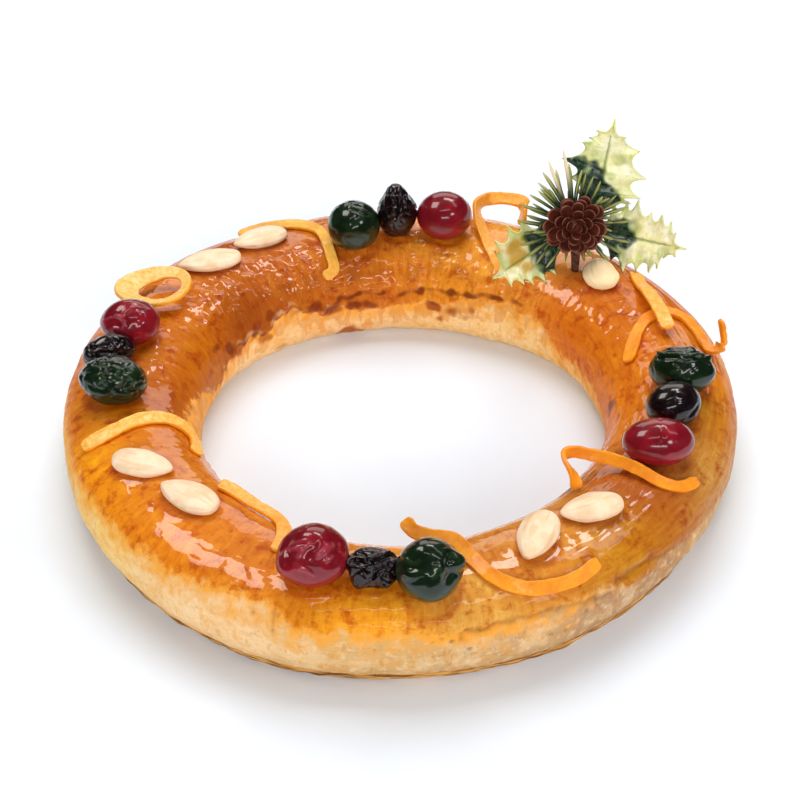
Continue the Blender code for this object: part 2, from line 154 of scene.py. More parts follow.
# A mesh of one or more grids, each with its marks: values or colours at its points. Columns that
# close on themselves get a cap at each end, unless the rows close too.
def gridMesh(name, grids, wrapRows, wrapColumns):
    points, faces, marks, count = [], [], {}, 0
    for grid, values in grids:
        rows, columns = grid.shape[:2]
        faces += (gridFaces(rows, columns, wrapRows, wrapColumns) + count).tolist()
        if wrapColumns and not wrapRows:
            cap = count + np.arange(columns)
            faces += [cap.tolist(), (cap + (rows - 1) * columns).tolist()]
        points.append(grid.reshape(-1, 3))
        for mark, value in values.items():
            value = np.broadcast_to(value, (rows, columns) + np.shape(value)[2:])
            marks.setdefault(mark, []).append(value.reshape(rows * columns, *value.shape[2:]))
        count += rows * columns
    mesh = bpy.data.meshes.new(name)
    mesh.from_pydata((np.concatenate(points) * mm).tolist(), [], faces)
    build = bmesh.new()
    build.from_mesh(mesh)
    bmesh.ops.recalc_face_normals(build, faces=build.faces)
    build.to_mesh(mesh)
    build.free()
    for mark, values in marks.items():
        values = np.concatenate(values).astype(np.float32)
        if values.ndim == 2:
            values = np.c_[values, np.ones(len(values), np.float32)]
            layer = mesh.attributes.new(mark, "FLOAT_COLOR", "POINT")
            layer.data.foreach_set("color", values.ravel())
        else:
            layer = mesh.attributes.new(mark, "FLOAT", "POINT")
            layer.data.foreach_set("value", values)
    return mesh


# The piece that stands for a node of the frame.
def makePiece(node, grids, material, wrapRows=False, wrapColumns=True):
    first, *others = node.split("_")
    name = first + "".join(word.capitalize() for word in others)
    mesh = gridMesh(name, grids, wrapRows, wrapColumns)
    mesh.shade_smooth()
    mesh.materials.append(material)
    piece = bpy.data.objects.new(name, mesh)
    bpy.context.scene.collection.objects.link(piece)
    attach(piece, "root")
    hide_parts(node)
    return piece


# Adds a node with its settings, its links and values by input, and gives back one output.
def addNode(tree, kind, settings=None, inputs=None, output=0):
    node = tree.nodes.new("ShaderNode" + kind)
    for name, value in (settings or {}).items():
        setattr(node, name, value)
    setInputs(tree, node, inputs or {})
    return node.outputs[output]


def setInputs(tree, node, inputs):
    for name, value in inputs.items():
        if isinstance(value, bpy.types.NodeSocket):
            tree.links.new(value, node.inputs[name])
        else:
            node.inputs[name].default_value = value


# A value moved from one range to another, held at the ends.
def ranged(value, low, high, toLow, toHigh):
    return {"Value": value, "From Min": low, "From Max": high, "To Min": toLow, "To Max": toHigh}


smooth = {"interpolation_type": "SMOOTHSTEP"}


# Lays colours over a base. Each has the value that it follows, where that starts and where it is
# full, its strength there and its colour. Plain numbers multiply the base, and the others cover it.
def layered(tree, v, base, layers):
    for value, start, full, strength, tone in layers:
        share = addNode(tree, "MapRange", smooth, ranged(v[value], start, full, 0, strength))
        blend = "MULTIPLY" if isinstance(tone, tuple) else "MIX"
        base = addNode(tree, "Mix", {"data_type": "RGBA", "blend_type": blend},
                       {0: share, 6: base, 7: named(tone, v)}, 2)
    return base


# What a name or an sRGB colour stands for. Anything else is itself.
def named(value, v):
    if not isinstance(value, str):
        return value
    return v[value] if value in v else (*linear(value), 1)


# A material from its table, in which values go by name. Noises have a size in millimetres, detail
# and roughness. Marks are the mesh's own. Other nodes follow, then blends of colour, of which the
# last is the base colour, then the gloss, the bump (strength and millimetres) and plain settings.
def makeMaterial(name, looks):
    material = bpy.data.materials.new(name)
    material.use_nodes = True
    tree = material.node_tree
    v = {"place": addNode(tree, "TexCoord", output="Object")}
    for noise, (size, detail, rough) in looks["noises"].items():
        inputs = {"Vector": v["place"], "Scale": 1 / (size * mm), "Detail": detail, "Roughness": rough}
        v[noise] = addNode(tree, "TexNoise", {}, inputs, "Fac")
    for mark in looks.get("marks", ()):
        v[mark] = addNode(tree, "Attribute", {"attribute_name": mark}, {}, "Fac")
    for node, (kind, settings, inputs, *output) in looks.get("nodes", {}).items():
        inputs = {key: named(value, v) for key, value in inputs.items()}
        v[node] = addNode(tree, kind, settings, inputs, *output)
    shader = {}
    for blend, (base, layers) in looks.get("blends", {}).items():
        v[blend] = shader["Base Color"] = layered(tree, v, named(base, v), layers)
    if "rough" in looks:
        value, *span = looks["rough"]
        shader["Roughness"] = addNode(tree, "MapRange", {}, ranged(v[value], *span))
    if "bump" in looks:
        value, strength, depth = looks["bump"]
        shader["Normal"] = addNode(tree, "Bump", {}, {
            "Height": v[value], "Strength": strength, "Distance": depth * mm})
    shader.update({key: named(value, v) for key, value in looks["settings"].items()})
    setInputs(tree, tree.nodes["Principled BSDF"], shader)
    return material


# The lens in millimetres, and the rows of the camera's turn and place.
view = {
    "lens": 98.93,
    "rows": ((0.9999, 0.0130, -0.0004, 0.0), (-0.0084, 0.6218, -0.7833, -0.6144),
             (-0.0100, 0.7831, 0.6216, 0.5123), (0, 0, 0, 1)),
}


def makeCamera():
    camera = bpy.data.objects.new("camera", bpy.data.cameras.new("camera"))
    bpy.context.scene.collection.objects.link(camera)
    camera.data.lens = view["lens"]
    camera.matrix_world = Matrix(view["rows"])
    bpy.context.scene.camera = camera
    bpy.context.scene.view_settings.view_transform = "Standard"


# Matt white card: pale and even, with a faint tooth that keeps it from looking blank. Its half
# width is in metres.
card = {
    "half": 4, "noises": {"tooth": (40, 3, 0.5)},
    "nodes": {
        "share": ("MapRange", smooth, ranged("tooth", 0.3, 0.7, 0, 1)),
        "tone": ("Mix", {"data_type": "RGBA"},
                 {0: "share", 6: (0.84, 0.88, 0.93, 1), 7: (0.82, 0.86, 0.91, 1)}, 2)},
    "settings": {"Base Color": "tone", "Roughness": 0.9, "Specular IOR Level": 0.1},
}


def makeFloor():
    half = card["half"]
    mesh = bpy.data.meshes.new("floor")
    corners = [(-half, -half, 0), (half, -half, 0), (half, half, 0), (-half, half, 0)]
    mesh.from_pydata(corners, [], [(0, 1, 2, 3)])
    mesh.materials.append(makeMaterial("matt white card", card))
    floor = bpy.data.objects.new("floor", mesh)
    bpy.context.scene.collection.objects.link(floor)


# Soft studio light: azimuth from +X, elevation, distance, width and height, watts, colour, and
# whether it is a card or lamp that shows only in the gloss. The others light the surfaces.
lights = {
    "top light": (90, 60, 1.3, (1.2, 0.9), 17.2, (1.0, 1.0, 1.0), False),
    "front light": (-95, 27, 1.6, (1.2, 0.5), 14.5, (1.0, 1.0, 1.0), False),
    "left light": (-168, 40, 1.2, (1.1, 0.5), 1.6, (1.0, 1.0, 1.0), False),
    "right light": (-15, 26, 1.3, (1.0, 0.5), 6.0, (1.0, 1.0, 1.0), False),
    "back strip": (70, 55, 1.3, (0.50, 0.22), 2.9, (1.0, 0.96, 0.93), True),
    "back card": (86, 27, 1.5, (1.2, 0.60), 4.0, (1.0, 0.93, 0.86), True),
    "left softbox": (152, 59, 1.2, (0.50, 0.44), 4.6, (1.0, 0.94, 0.86), True),
    "right lamp": (-42, 45, 1.2, (0.22, 0.20), 1.3, (0.95, 0.97, 1.0), True),
    "right strip": (38, 57, 1.2, (0.7, 0.14), 0.65, (0.97, 0.98, 1.0), True),
    "overhead strip": (-80, 74, 1.2, (0.8, 0.08), 0.9, (1.0, 0.98, 0.95), True),
    "front strip": (-84, 36, 1.2, (0.7, 0.12), 2.0, (1.0, 0.98, 0.95), True),
}
# The studio's own glow: its colour, the rises that it changes between and its strength at each.
studio = {"tone": (0.93, 0.965, 1, 1), "glow": (0.36, 0.56, 0.46, 0.05)}


def makeLights():
    for name, (azimuth, elevation, distance, size, power, tone, isGloss) in lights.items():
        data = bpy.data.lights.new(name, "AREA")
        data.shape = "RECTANGLE"
        data.size, data.size_y = size
        data.energy = power
        data.color = tone
        lamp = bpy.data.objects.new(name, data)
        bpy.context.scene.collection.objects.link(lamp)
        azimuth, elevation = math.radians(azimuth), math.radians(elevation)
        level = math.cos(elevation)
        away = np.array([math.cos(azimuth) * level, math.sin(azimuth) * level, math.sin(elevation)])
        across = unit(np.cross([0, 0, 1], away))
        up = np.cross(away, across)
        turn = Matrix((across, up, away)).transposed().to_4x4()
        turn.translation = away * distance
        lamp.matrix_world = turn
        lamp.visible_glossy = isGloss
        lamp.visible_diffuse = not isGloss
    world = bpy.data.worlds.new("studio")
    bpy.context.scene.world = world
    world.use_nodes = True
    world.cycles_visibility.glossy = False
    tree = world.node_tree
    direction = addNode(tree, "TexCoord", output="Generated")
    rise = addNode(tree, "SeparateXYZ", {}, {"Vector": direction}, "Z")
    glow = addNode(tree, "MapRange", {}, ranged(rise, *studio["glow"]))
    tree.links.new(glow, tree.nodes["Background"].inputs["Strength"])
    tree.nodes["Background"].inputs["Color"].default_value = studio["tone"]


makeCamera()
makeFloor()
makeLights()
print("floor, lights and camera done")


ring = {
    "bearings": 640, "ridgeRadius": 96.1, "height": 33.3, "fullness": 0.86, "backSteps": 100,
    "outer": (23.9, 18.5), "inner": (23.1, 10.2),  # width and height of the waist, outside and inside
    # How the ridge, the height and the width wander: size, times round the ring, bearing.
    "ridgeWander": [(1.3, 3, 20), (0.25, 7, 40)],
    "heightWander": [(0.35, 5, 10), (0.25, 11, 65)],
    "widthWander": [(0.033, 1, 143), (0.008, 9, 15)],
    # The sides below the waist: across, height.
    "outerSide": [(23.9, 18.5), (23.85, 14.0), (23.0, 9.4), (21.2, 5.9)],
    "outerFoot": [
        (20.9, 5.4), (19.9, 4.7), (19.7, 4.2), (20.1, 3.6), (19.4, 2.2), (18.4, 1.0), (17.2, 0.0)],
    "innerFoot": [(-18.3, 0.0), (-20.2, 1.6), (-21.6, 4.0), (-22.8, 7.2), (-23.1, 10.2)],
    # Where the glaze ends on the outer and inner sides: bearing and height.
    "glazeOuter": [
        (-180, 25.0), (-168, 25.4), (-155, 25.6), (-150, 26.4), (-144, 26.8), (-139, 26.6),
        (-134.5, 26.8), (-129, 27.2), (-125, 27.6), (-120, 28.1), (-115.6, 28.4), (-111, 28.5),
        (-106.5, 25.8), (-102.4, 24.9), (-98.5, 25.7), (-94.6, 25.3), (-90.8, 25.4), (-87, 24.7),
        (-82.3, 23.5), (-78.5, 24), (-75.4, 24.8), (-68.5, 25.2), (-61, 24.7), (-57.3, 24.1),
        (-54.5, 22.4), (-51.4, 20), (-48, 19), (-43, 19.8), (-39, 19.4), (-34.6, 19.2), (-30, 18.8),
        (-24.7, 16.7), (-18.7, 13.2), (0, 13), (25, 14), (60, 18), (120, 20)],
    "glazeInner": [
        (-171.5, 25.6), (-179, 23.9), (170, 18.2), (159.6, 10), (153, 12.5), (148.6, 14.1),
        (143.7, 16.4), (137.6, 16.5), (131, 16.5), (127, 18), (123.3, 19), (115.5, 14.5), (108.4, 14.6),
        (101, 14), (95.6, 13), (91.7, 14), (85, 15.4), (82, 16.8), (78, 15), (72, 17.7), (66, 20),
        (59, 21), (54.6, 21.5), (51, 20.3), (45.5, 20), (41.6, 17.5), (39, 13.5), (35, 12.1),
        (30, 13.1), (25, 12.9), (19.6, 13.8), (14, 12.8), (8.5, 10.9), (0, 1), (-20, -3), (-45, -3),
        (-60, 4), (-80, 12), (-110, 15), (-140, 17), (-160, 22)],
    # How the browned glaze changes round the ring: bearing, across, colour. Tuned region by region
    # under the lamps, they also hold painted shade: the outer right side is painted darker.
    "glazeTints": [
        (-178, -14, "953b05"), (-168, 5, "d87a10"), (-156, -10, "c2660e"), (-156, 15, "f49605"),
        (-134, 10, "e78008"), (-132, -5, "c9701a"), (-112, 5, "d87710"), (-112, -8, "d07420"),
        (-92, 14, "f79f0e"), (-80, 16, "d9a44d"), (-72, 6, "cc7410"), (-60, -2, "db9038"),
        (-50, 15, "b87507"), (-36, 5, "9e3a05"), (-24, 16, "be883d"), (-10, 16, "b96f06"),
        (-10, -16, "dd7405"), (5, -8, "de7811"), (12, 15, "cc771c"), (22, -15, "da7505"),
        (24, 0, "b4560a"), (38, -15, "d56805"), (55, -15, "e08a35"), (62, 0, "e8a030"),
        (72, -12, "ea921c"), (86, -12, "e68a20"), (96, -12, "de7c18"), (98, -20, "b4581a"),
        (108, -10, "c06a16"), (124, -10, "b4580f"), (134, 5, "bc6014"), (140, -18, "75260b"),
        (145, 12, "e08412"), (150, -5, "d87405"), (160, -14, "b66308"), (170, 0, "d87415")],
    # The pale crust below the glaze: bearing, across, colour. Tuned the same way, they hold painted
    # light and shade where the lamps light the ring unevenly, with the outer right side painted darker.
    "crustTints": [
        (180, 22, "f6cf8c"), (-150, 22, "f7ce7b"), (-120, 22, "efc48e"), (-96, 22, "d0a76d"),
        (-75, 22, "c79f6f"), (-50, 22, "a47c5b"), (-25, 22, "c3986c"), (0, 22, "bfa01c"),
        (25, 22, "c48c5c"), (80, 22, "d6a262"), (130, 22, "dca865"), (40, -22, "f7cc84"),
        (75, -22, "f7d08c"), (98, -22, "f2bf80"), (112, -22, "eab678"), (132, -22, "f4cb8c"),
        (150, -22, "f6d09c"), (172, -22, "dc9650"), (-150, -22, "c98a50"), (-90, -22, "d09858"),
        (-30, -22, "d89850")],
    "tintReach": 14, "crustReach": 16, "noiseRadius": 110,
    # Deep caramel marks: bearing, across, height, size, strength. The three at bearings -26.5, -15.5
    # and -11.9, outside the right-hand cherries, are painted shadow of the cherries on the glaze, and
    # the three at the inner foot from bearing 103.4 to 110.8 only darken the wall's foot.
    "darkMarks": [
        (152.4, -20.6, 22.6, 2.2, 0.8), (150.3, -16.7, 28.1, 1.4, 0.5), (147.5, -22.2, 18.3, 2.6, 0.9),
        (143.8, -22.7, 15.4, 2.6, 0.9), (136.5, -22.5, 17.3, 2.2, 0.8), (134.7, -22.9, 13.9, 2.0, 0.7),
        (131.8, -23, 12.3, 1.8, 0.7), (129.9, -21.5, 20.5, 2.2, 0.7), (127.3, -20.9, 21.6, 1.8, 0.6),
        (127.9, -23, 4.4, 2.0, 0.6), (116.1, -22.2, 17.8, 2.6, 0.9), (115.1, -21.8, 19.4, 1.8, 0.7),
        (110.5, -22.7, 15.1, 2.4, 0.9), (103.5, -22.7, 15.2, 2.2, 0.9), (98.6, -22.7, 15.9, 1.8, 0.8),
        # The three here at the inner foot only darken the wall's foot.
        (110.8, -23, 3.0, 2.6, 0.9), (106.8, -23.1, 2.6, 3.0, 1.0), (103.4, -23, 2.2, 3.0, 1.0),
        (164.2, -22.2, 18.7, 1.8, 0.4), (78.9, -22.7, 14.6, 2.6, 1.1), (78, -23, 8.8, 2.0, 0.9),
        (73.5, -22.9, 13.5, 2.4, 1.0), (68.5, -23.1, 11, 1.8, 0.7), (66.5, -22.6, 15.7, 1.8, 0.8),
        (48.5, -22, 18.8, 1.6, 0.4), (19.8, -22.9, 14.6, 1.2, 0.4), (-0.8, -21.5, 20.6, 3.0, 0.9),
        # Painted shadow that the right-hand cherries cast: -15.5 and -11.9 here, and -26.5 below.
        (-44.5, -15.4, 29.1, 2.6, 0.9), (-15.5, 14.1, 31.4, 4.0, 0.35), (-11.9, 10.4, 32.6, 4.0, 0.4),
        (-26.5, 12.9, 31.9, 3.6, 0.4), (-46.0, 21.5, 25.5, 3.0, 0.35), (121.5, -22.4, 18.6, 2.0, 0.6),
        (141.0, -20.5, 22.8, 1.8, 0.5), (156.5, -21.6, 19.2, 1.8, 0.5), (103.0, -18.5, 27.0, 4.2, 0.5),
        (95.0, -18.0, 27.5, 4.4, 0.4), (86.0, -18.0, 27.5, 4.6, 0.45), (79.0, -16.5, 29.0, 4.0, 0.4),
        (72.0, -17.5, 28.0, 4.2, 0.4), (115.0, -17.5, 28.0, 3.6, 0.45), (123.0, -18.5, 26.5, 3.4, 0.4),
        (131.0, -17.0, 28.0, 3.2, 0.4)],
    # The caramel line where the glaze pooled and set at the back of the hole.
    "darkLine": [
        (109, -22, 18.0), (103, -21.9, 19.2), (96, -21.7, 19.8), (89.3, -21.7, 19.8),
        (80.3, -21.4, 20.2), (71.2, -21.2, 20.7), (62, -20.8, 22.0), (54, -20.6, 22.5),
        (47, -20.5, 22.7)],
    # Creases and cracks in the crust: depth, width, then bearing and height on the outer side.
    "creases": [
        (0.9, 1.5, [(-80.5, 23.4), (-78.5, 23.8), (-75.4, 24.4), (-72.1, 24.7), (-69.2, 24.8),
                    (-66.3, 24.3), (-62.8, 23.5), (-59.1, 21.8), (-56.0, 20.6)]),
        (1.0, 1.6, [(-53.6, 23.9), (-52.3, 23.7), (-48.1, 23.6), (-45.4, 22.6), (-42.4, 20.9),
                    (-37.8, 18.7), (-33.5, 17.5)]),
        (0.8, 0.7, [(-57.6, 25.7), (-58.0, 20.3), (-57.7, 16.9), (-57.1, 12.7)]),
        (0.8, 0.7, [(-81.1, 23.2), (-80.8, 20.2), (-80.5, 16.8), (-80.7, 9.6)]),
        (0.6, 0.7, [(-113.9, 27.9), (-113.5, 25.8), (-113.1, 22.5)]),
        (0.5, 0.7, [(-109.8, 27.7), (-110.1, 23.0), (-109.3, 18.3)]),
        (0.5, 0.6, [(-130.1, 22.9), (-131.2, 18.4)])],
    # Small holes: bearing, height, size.
    "pits": [
        (-79.7, 16.7, 1.2), (-79.2, 14.6, 1.0), (-84.2, 22.4, 0.9), (-82.4, 21.1, 1.0),
        (-85.6, 21.4, 0.7), (-60.2, 19.0, 0.8), (-66.5, 15.0, 0.7), (-71.8, 17.2, 0.6),
        (-131.8, 16.0, 0.6)],
    # Where each kind of surface runs: its first and last bearing, and how far it fades past them.
    "stretches": {
        "crispFront": (-172, -52, 6), "crispBack": (45, 172, 6), "scalloped": (100, 172, 6),
        "plainEdge": (-58, 40, 12), "wrinkled": (52, 152, 10), "folded": (10, 62, 8),
        "foldedLeft": (152, 200, 8), "ribbed": (-172, -98, 8), "right": (-62, 40, 12),
        "dimpled": (-104, -66, 8), "thickLip": (96, 168, 6), "paleLip": (104, 168, 6)},
    # Rows stand closer together from one bearing to another, fading, by this much.
    "crowding": (10, 156, 10, 0.7),
    # Folds in the crust: depth, lean, spacing round the ring, length up its side, pattern.
    "folds": {
        "wrinkled": [(0.52, 0.25, 4.4, 6.0, 7), (0.52, -0.5, 6.0, 2.8, 8), (0.12, 0.2, 2.6, 2.2, 9)],
        "folded": [(0.17, 0.45, 2.2, 7.0, 40), (0.14, 0.9, 3.2, 2.8, 42)],
        "foldedLeft": [(0.11, 0.6, 2.6, 7.0, 44)], "ribbed": [(0.28, 0.5, 3.4, 5.0, 10)],
        "slanted": [(0.05, 1.2, 2.0, 8, 11), (0.09, -0.4, 5.0, 2.6, 12)],
        "lengthways": [(0.20, 0.5, 12, 1.6, 13), (0.10, -0.3, 6, 1.5, 14)],
        "crust": [(0.22, 0.0, 7, 4.0, 17), (0.14, 0.2, 2.4, 6.0, 36)],
        "rightCrust": [(0.20, 0.4, 5.0, 1.7, 43)], "torn": [(0.22, 0.1, 2.2, 7, 19)],
        "patches": [(1.0, 0.15, 5.0, 6.5, 29), (0.5, 0.1, 2.2, 4.0, 39)]},
    # Swells: depth, size, pattern.
    "swells": {
        "all": [(0.45, 34, 4), (0.18, 13, 5), (0.06, 6, 6)], "lengthways": [(0.10, 7, 38)],
        "dimpled": [(0.24, 3.2, 15), (0.12, 1.8, 16)], "crust": [(0.16, 2.4, 18)]},
    # Fine cracks in the glaze, as folds are, and their half width.
    "net": [(0.10, 0.3, 4.0, 6.0, 27, 0.14), (0.07, -0.6, 2.4, 2.8, 28, 0.16)],
    # The glaze's edge: how soft it is where crisp and what is added elsewhere, its scallops, its
    # unevenness outside and inside, how far the gold reaches past it, and its lip's place and width.
    "edge": {"crisp": 2.6, "soft": 3.0, "scallops": 4.0, "uneven": (0.5, 0.25), "gold": 6.5,
             "lip": (1.4, 1.2)},
    # How far the glaze, its lip (thin and thick), the patches, the marks and the pools stand up, and
    # how deep the small holes and the foot's layers are.
    "rise": {"glaze": 0.35, "lip": (0.14, 0.3), "patch": 0.22, "mark": 0.20, "pool": 0.35},
    "pitDepth": 0.6, "layerDepth": 0.22, "poolReach": 1.5,
}


def wander(waves, bearing):
    return sum(size * np.cos(count * (bearing - math.radians(turn))) for size, count, turn in waves)


def tubePoint(bearing, across, height):
    radius = ring["ridgeRadius"] + wander(ring["ridgeWander"], bearing)
    radius = radius + across * (1 + wander(ring["widthWander"], bearing))
    return np.stack(np.broadcast_arrays(radius * np.cos(bearing), radius * np.sin(bearing), height), -1)


def ringTop(bearing):
    return ring["height"] + wander(ring["heightWander"], bearing)


# The width or the height of the waist on each point's side of the ridge.
def atWaist(across, index):
    return np.where(np.asarray(across) >= 0, ring["outer"][index], ring["inner"][index])


# A point on the back, the dome above the waist: angle 0 is the outer waist and pi the inner one.
def backPoint(bearing, angle):
    bearing, angle = np.broadcast_arrays(bearing, angle)
    across = squared(np.cos(angle), ring["fullness"]) * atWaist(np.cos(angle), 0)
    waist = atWaist(np.cos(angle), 1)
    rise = (ringTop(bearing) - waist) * np.maximum(np.sin(angle), 0) ** ring["fullness"]
    return tubePoint(bearing, across, waist + rise)


def backAngle(across):
    share = np.minimum(np.abs(across) / atWaist(across, 0), 1) ** (1 / ring["fullness"])
    return np.arccos(np.sign(across) * share)


def backNormal(bearing, across):
    angle, step = backAngle(across), 0.02
    along = backPoint(bearing + step, angle) - backPoint(bearing - step, angle)
    outer, inner = np.maximum(angle - step, 0), np.minimum(angle + step, math.pi)
    return unit(np.cross(backPoint(bearing, outer) - backPoint(bearing, inner), along))


def onPastry(bearing, across, lift=0.0):
    return backPoint(bearing, backAngle(across)) + backNormal(bearing, across) * lift


# A point on the outer side of the crust at this bearing in degrees and height.
def outerPlace(bearing, height):
    bearing = math.radians(bearing)
    width, waist = ring["outer"]
    share = max(height - waist, 0) / (ringTop(bearing) - waist)
    angle = math.asin(min(share ** (1 / ring["fullness"]), 1))
    across = math.cos(angle) ** ring["fullness"] * width
    if height < waist:
        places = np.array(ring["outerFoot"][::-1] + ring["outerSide"][::-1])
        across = np.interp(height, places[:, 1], places[:, 0])
    return tubePoint(bearing, across, height)


# Where points are across the tube, and how far off the crust is on the way out to them.
def pastryDepth(points):
    bearing = np.arctan2(points[..., 1], points[..., 0])
    radius = ring["ridgeRadius"] + wander(ring["ridgeWander"], bearing)
    across = np.hypot(points[..., 0], points[..., 1]) - radius
    across = across / (1 + wander(ring["widthWander"], bearing))
    width, waist = atWaist(across, 0), atWaist(across, 1)
    rise = np.maximum(points[..., 2] - waist, 1e-6)
    power = 2 / ring["fullness"]
    level = np.abs(across / width) ** power + (rise / (ringTop(bearing) - waist)) ** power
    reach = np.hypot(across, rise)
    surface = reach / np.maximum(level, 1e-9) ** (1 / power)
    return bearing, across, waist, rise, reach, surface


# Moves points out of the crust, to at least this far off it.
def clearOfPastry(points, gap):
    bearing, across, waist, rise, reach, surface = pastryDepth(points)
    grow = np.maximum((surface + gap) / reach, 1)
    moved = tubePoint(bearing, across * grow, waist + rise * grow)
    return np.where((points[..., 2] > waist)[..., None], moved, points)


# Brings points out of the crust towards the camera, so that the outline seen stays.
def forwardOfPastry(points, gap):
    points = points.copy()
    for _ in range(120):
        _, _, waist, _, reach, surface = pastryDepth(points)
        low = (reach < surface + gap) & (points[..., 2] > waist - 8)
        if not low.any():
            break
        points[low] += towardsView * 0.25
    return points


# Ridges at this spacing round the ring and this length up the crust, leaning by their height.
def strokes(skin, lean, apart, length, shift):
    turn, radius = skin.turn + lean * skin.arc / ring["ridgeRadius"], ring["ridgeRadius"] / apart
    spots = np.stack([np.cos(turn) * radius, np.sin(turn) * radius, skin.arc / length], -1)
    return ripple(spots, 1, shift)


def foldSum(name, skin):
    return sum(depth * strokes(skin, *shape) for depth, *shape in ring["folds"][name])


def swellSum(name, skin):
    return sum(depth * ripple(skin.base, *shape) for depth, *shape in ring["swells"][name])


def around(bearing, table):
    places = np.array(sorted((b % 360, z) for b, z in table))
    return np.interp(np.degrees(bearing) % 360, places[:, 0], places[:, 1], period=360)


# 1 between two bearings in degrees, fading to 0 outside them.
def window(bearing, start, end, soft):
    middle, half = (start + end) / 2, (end - start) / 2
    off = np.abs((np.degrees(bearing) - middle + 180) % 360 - 180)
    return smoothStep(half + soft, half - soft, off)


def blendTints(points, table, reach):
    total, weights = 0, 0
    for bearing, across, hexColour in table:
        away = np.linalg.norm(points - onPastry(math.radians(bearing), across), axis=-1)
        weight = np.exp(-(away / reach) ** 1.2)[..., None] + 1e-9
        total, weights = total + weight * linear(hexColour), weights + weight
    return total / weights


# The middle and half size of each cherry and almond.
def toppingFootprints():
    spots = []
    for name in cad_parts:
        if name.startswith(("cherry", "almond")):
            low, high = (np.array(corner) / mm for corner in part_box(name))
            spots.append(((low + high) / 2, (high - low) / 2))
    return spots


# The ring's plain surface. Rows go round it, and columns run from the outer foot up the side, over
# the back, down inside and under.
def pastrySkin():
    *crowded, extra = ring["crowding"]
    even = np.linspace(-math.pi, math.pi, 3601)
    crowd = np.concatenate([[0], np.cumsum(1 + extra * window(even[1:], *crowded))])
    rows = ring["bearings"]
    bearing = np.interp(np.arange(rows) / rows * crowd[-1], crowd, even)[:, None]
    foot = smoothRun(ring["outerFoot"][::-1], 3)
    side = np.vstack([foot, smoothRun(ring["outerSide"][::-1], 6)[:-1]])
    innerFoot = smoothRun(ring["innerFoot"][::-1], 3)[1:]
    under = np.linspace(ring["innerFoot"][0][0], ring["outerFoot"][-1][0], 8)[1:-1]
    base = np.concatenate([
        tubePoint(bearing, side[None, :, 0], side[None, :, 1]),
        backPoint(bearing, np.linspace(0, math.pi, ring["backSteps"] + 1)[None, :]),
        tubePoint(bearing, innerFoot[None, :, 0], innerFoot[None, :, 1]),
        tubePoint(bearing, under[None, :], np.zeros((1, len(under))))], axis=1)
    along = np.roll(base, -1, 0) - np.roll(base, 1, 0)
    over = np.roll(base, -1, 1) - np.roll(base, 1, 1)
    arc = np.cumsum(np.linalg.norm(np.diff(base, axis=1, prepend=base[:, :1]), axis=-1), axis=1)
    turn = np.broadcast_to(bearing, arc.shape)
    column = np.broadcast_to(np.arange(arc.shape[1]), arc.shape)
    return SimpleNamespace(
        base=base, height=base[..., 2], across=pastryDepth(base)[1], turn=turn, arc=arc,
        normal=unit(np.cross(along, over)), isFoot=column < len(foot),
        isUnder=(column == 0) | (column >= arc.shape[1] - len(under)),
        circle=np.stack([np.cos(turn), np.sin(turn), 0 * turn], -1) * ring["noiseRadius"],
        stretch={name: window(turn, *ends) for name, ends in ring["stretches"].items()})


# Where the glaze is, how far above its edge each point is, the golden crust past it and its lip.
def addGlaze(skin):
    edge, stretch, isOutside = ring["edge"], skin.stretch, skin.across > 0
    crisp = np.clip(0.5 * stretch["crispFront"] + stretch["crispBack"], 0, 1)
    uneven = np.where(isOutside, *edge["uneven"])
    wave = 0.8 * ripple(skin.circle, 8, 1) + uneven * ripple(skin.circle, 3.6, 2)
    scallops = (np.abs(ripple(skin.circle, 8, 41)) - 0.3) * stretch["scalloped"]
    wave -= edge["scallops"] * scallops * (skin.across < 0)
    outer, inner = around(skin.turn, ring["glazeOuter"]), around(skin.turn, ring["glazeInner"])
    ends = np.where(isOutside, outer, inner)
    skin.above = skin.height - (ends + wave) + uneven * ripple(skin.base, 3, 3)
    soft = edge["crisp"] + edge["soft"] * (1 - crisp)
    skin.glaze = smoothStep(-soft, soft, skin.above)
    skin.gold = np.exp(np.minimum(skin.above + 2.4 * ripple(skin.base, 4.5, 35), 0) / edge["gold"])
    skin.gold = skin.gold * (1 - 0.8 * stretch["plainEdge"] * isOutside)
    place, width = edge["lip"]
    skin.lip = mound(skin.above - place, width) * crisp


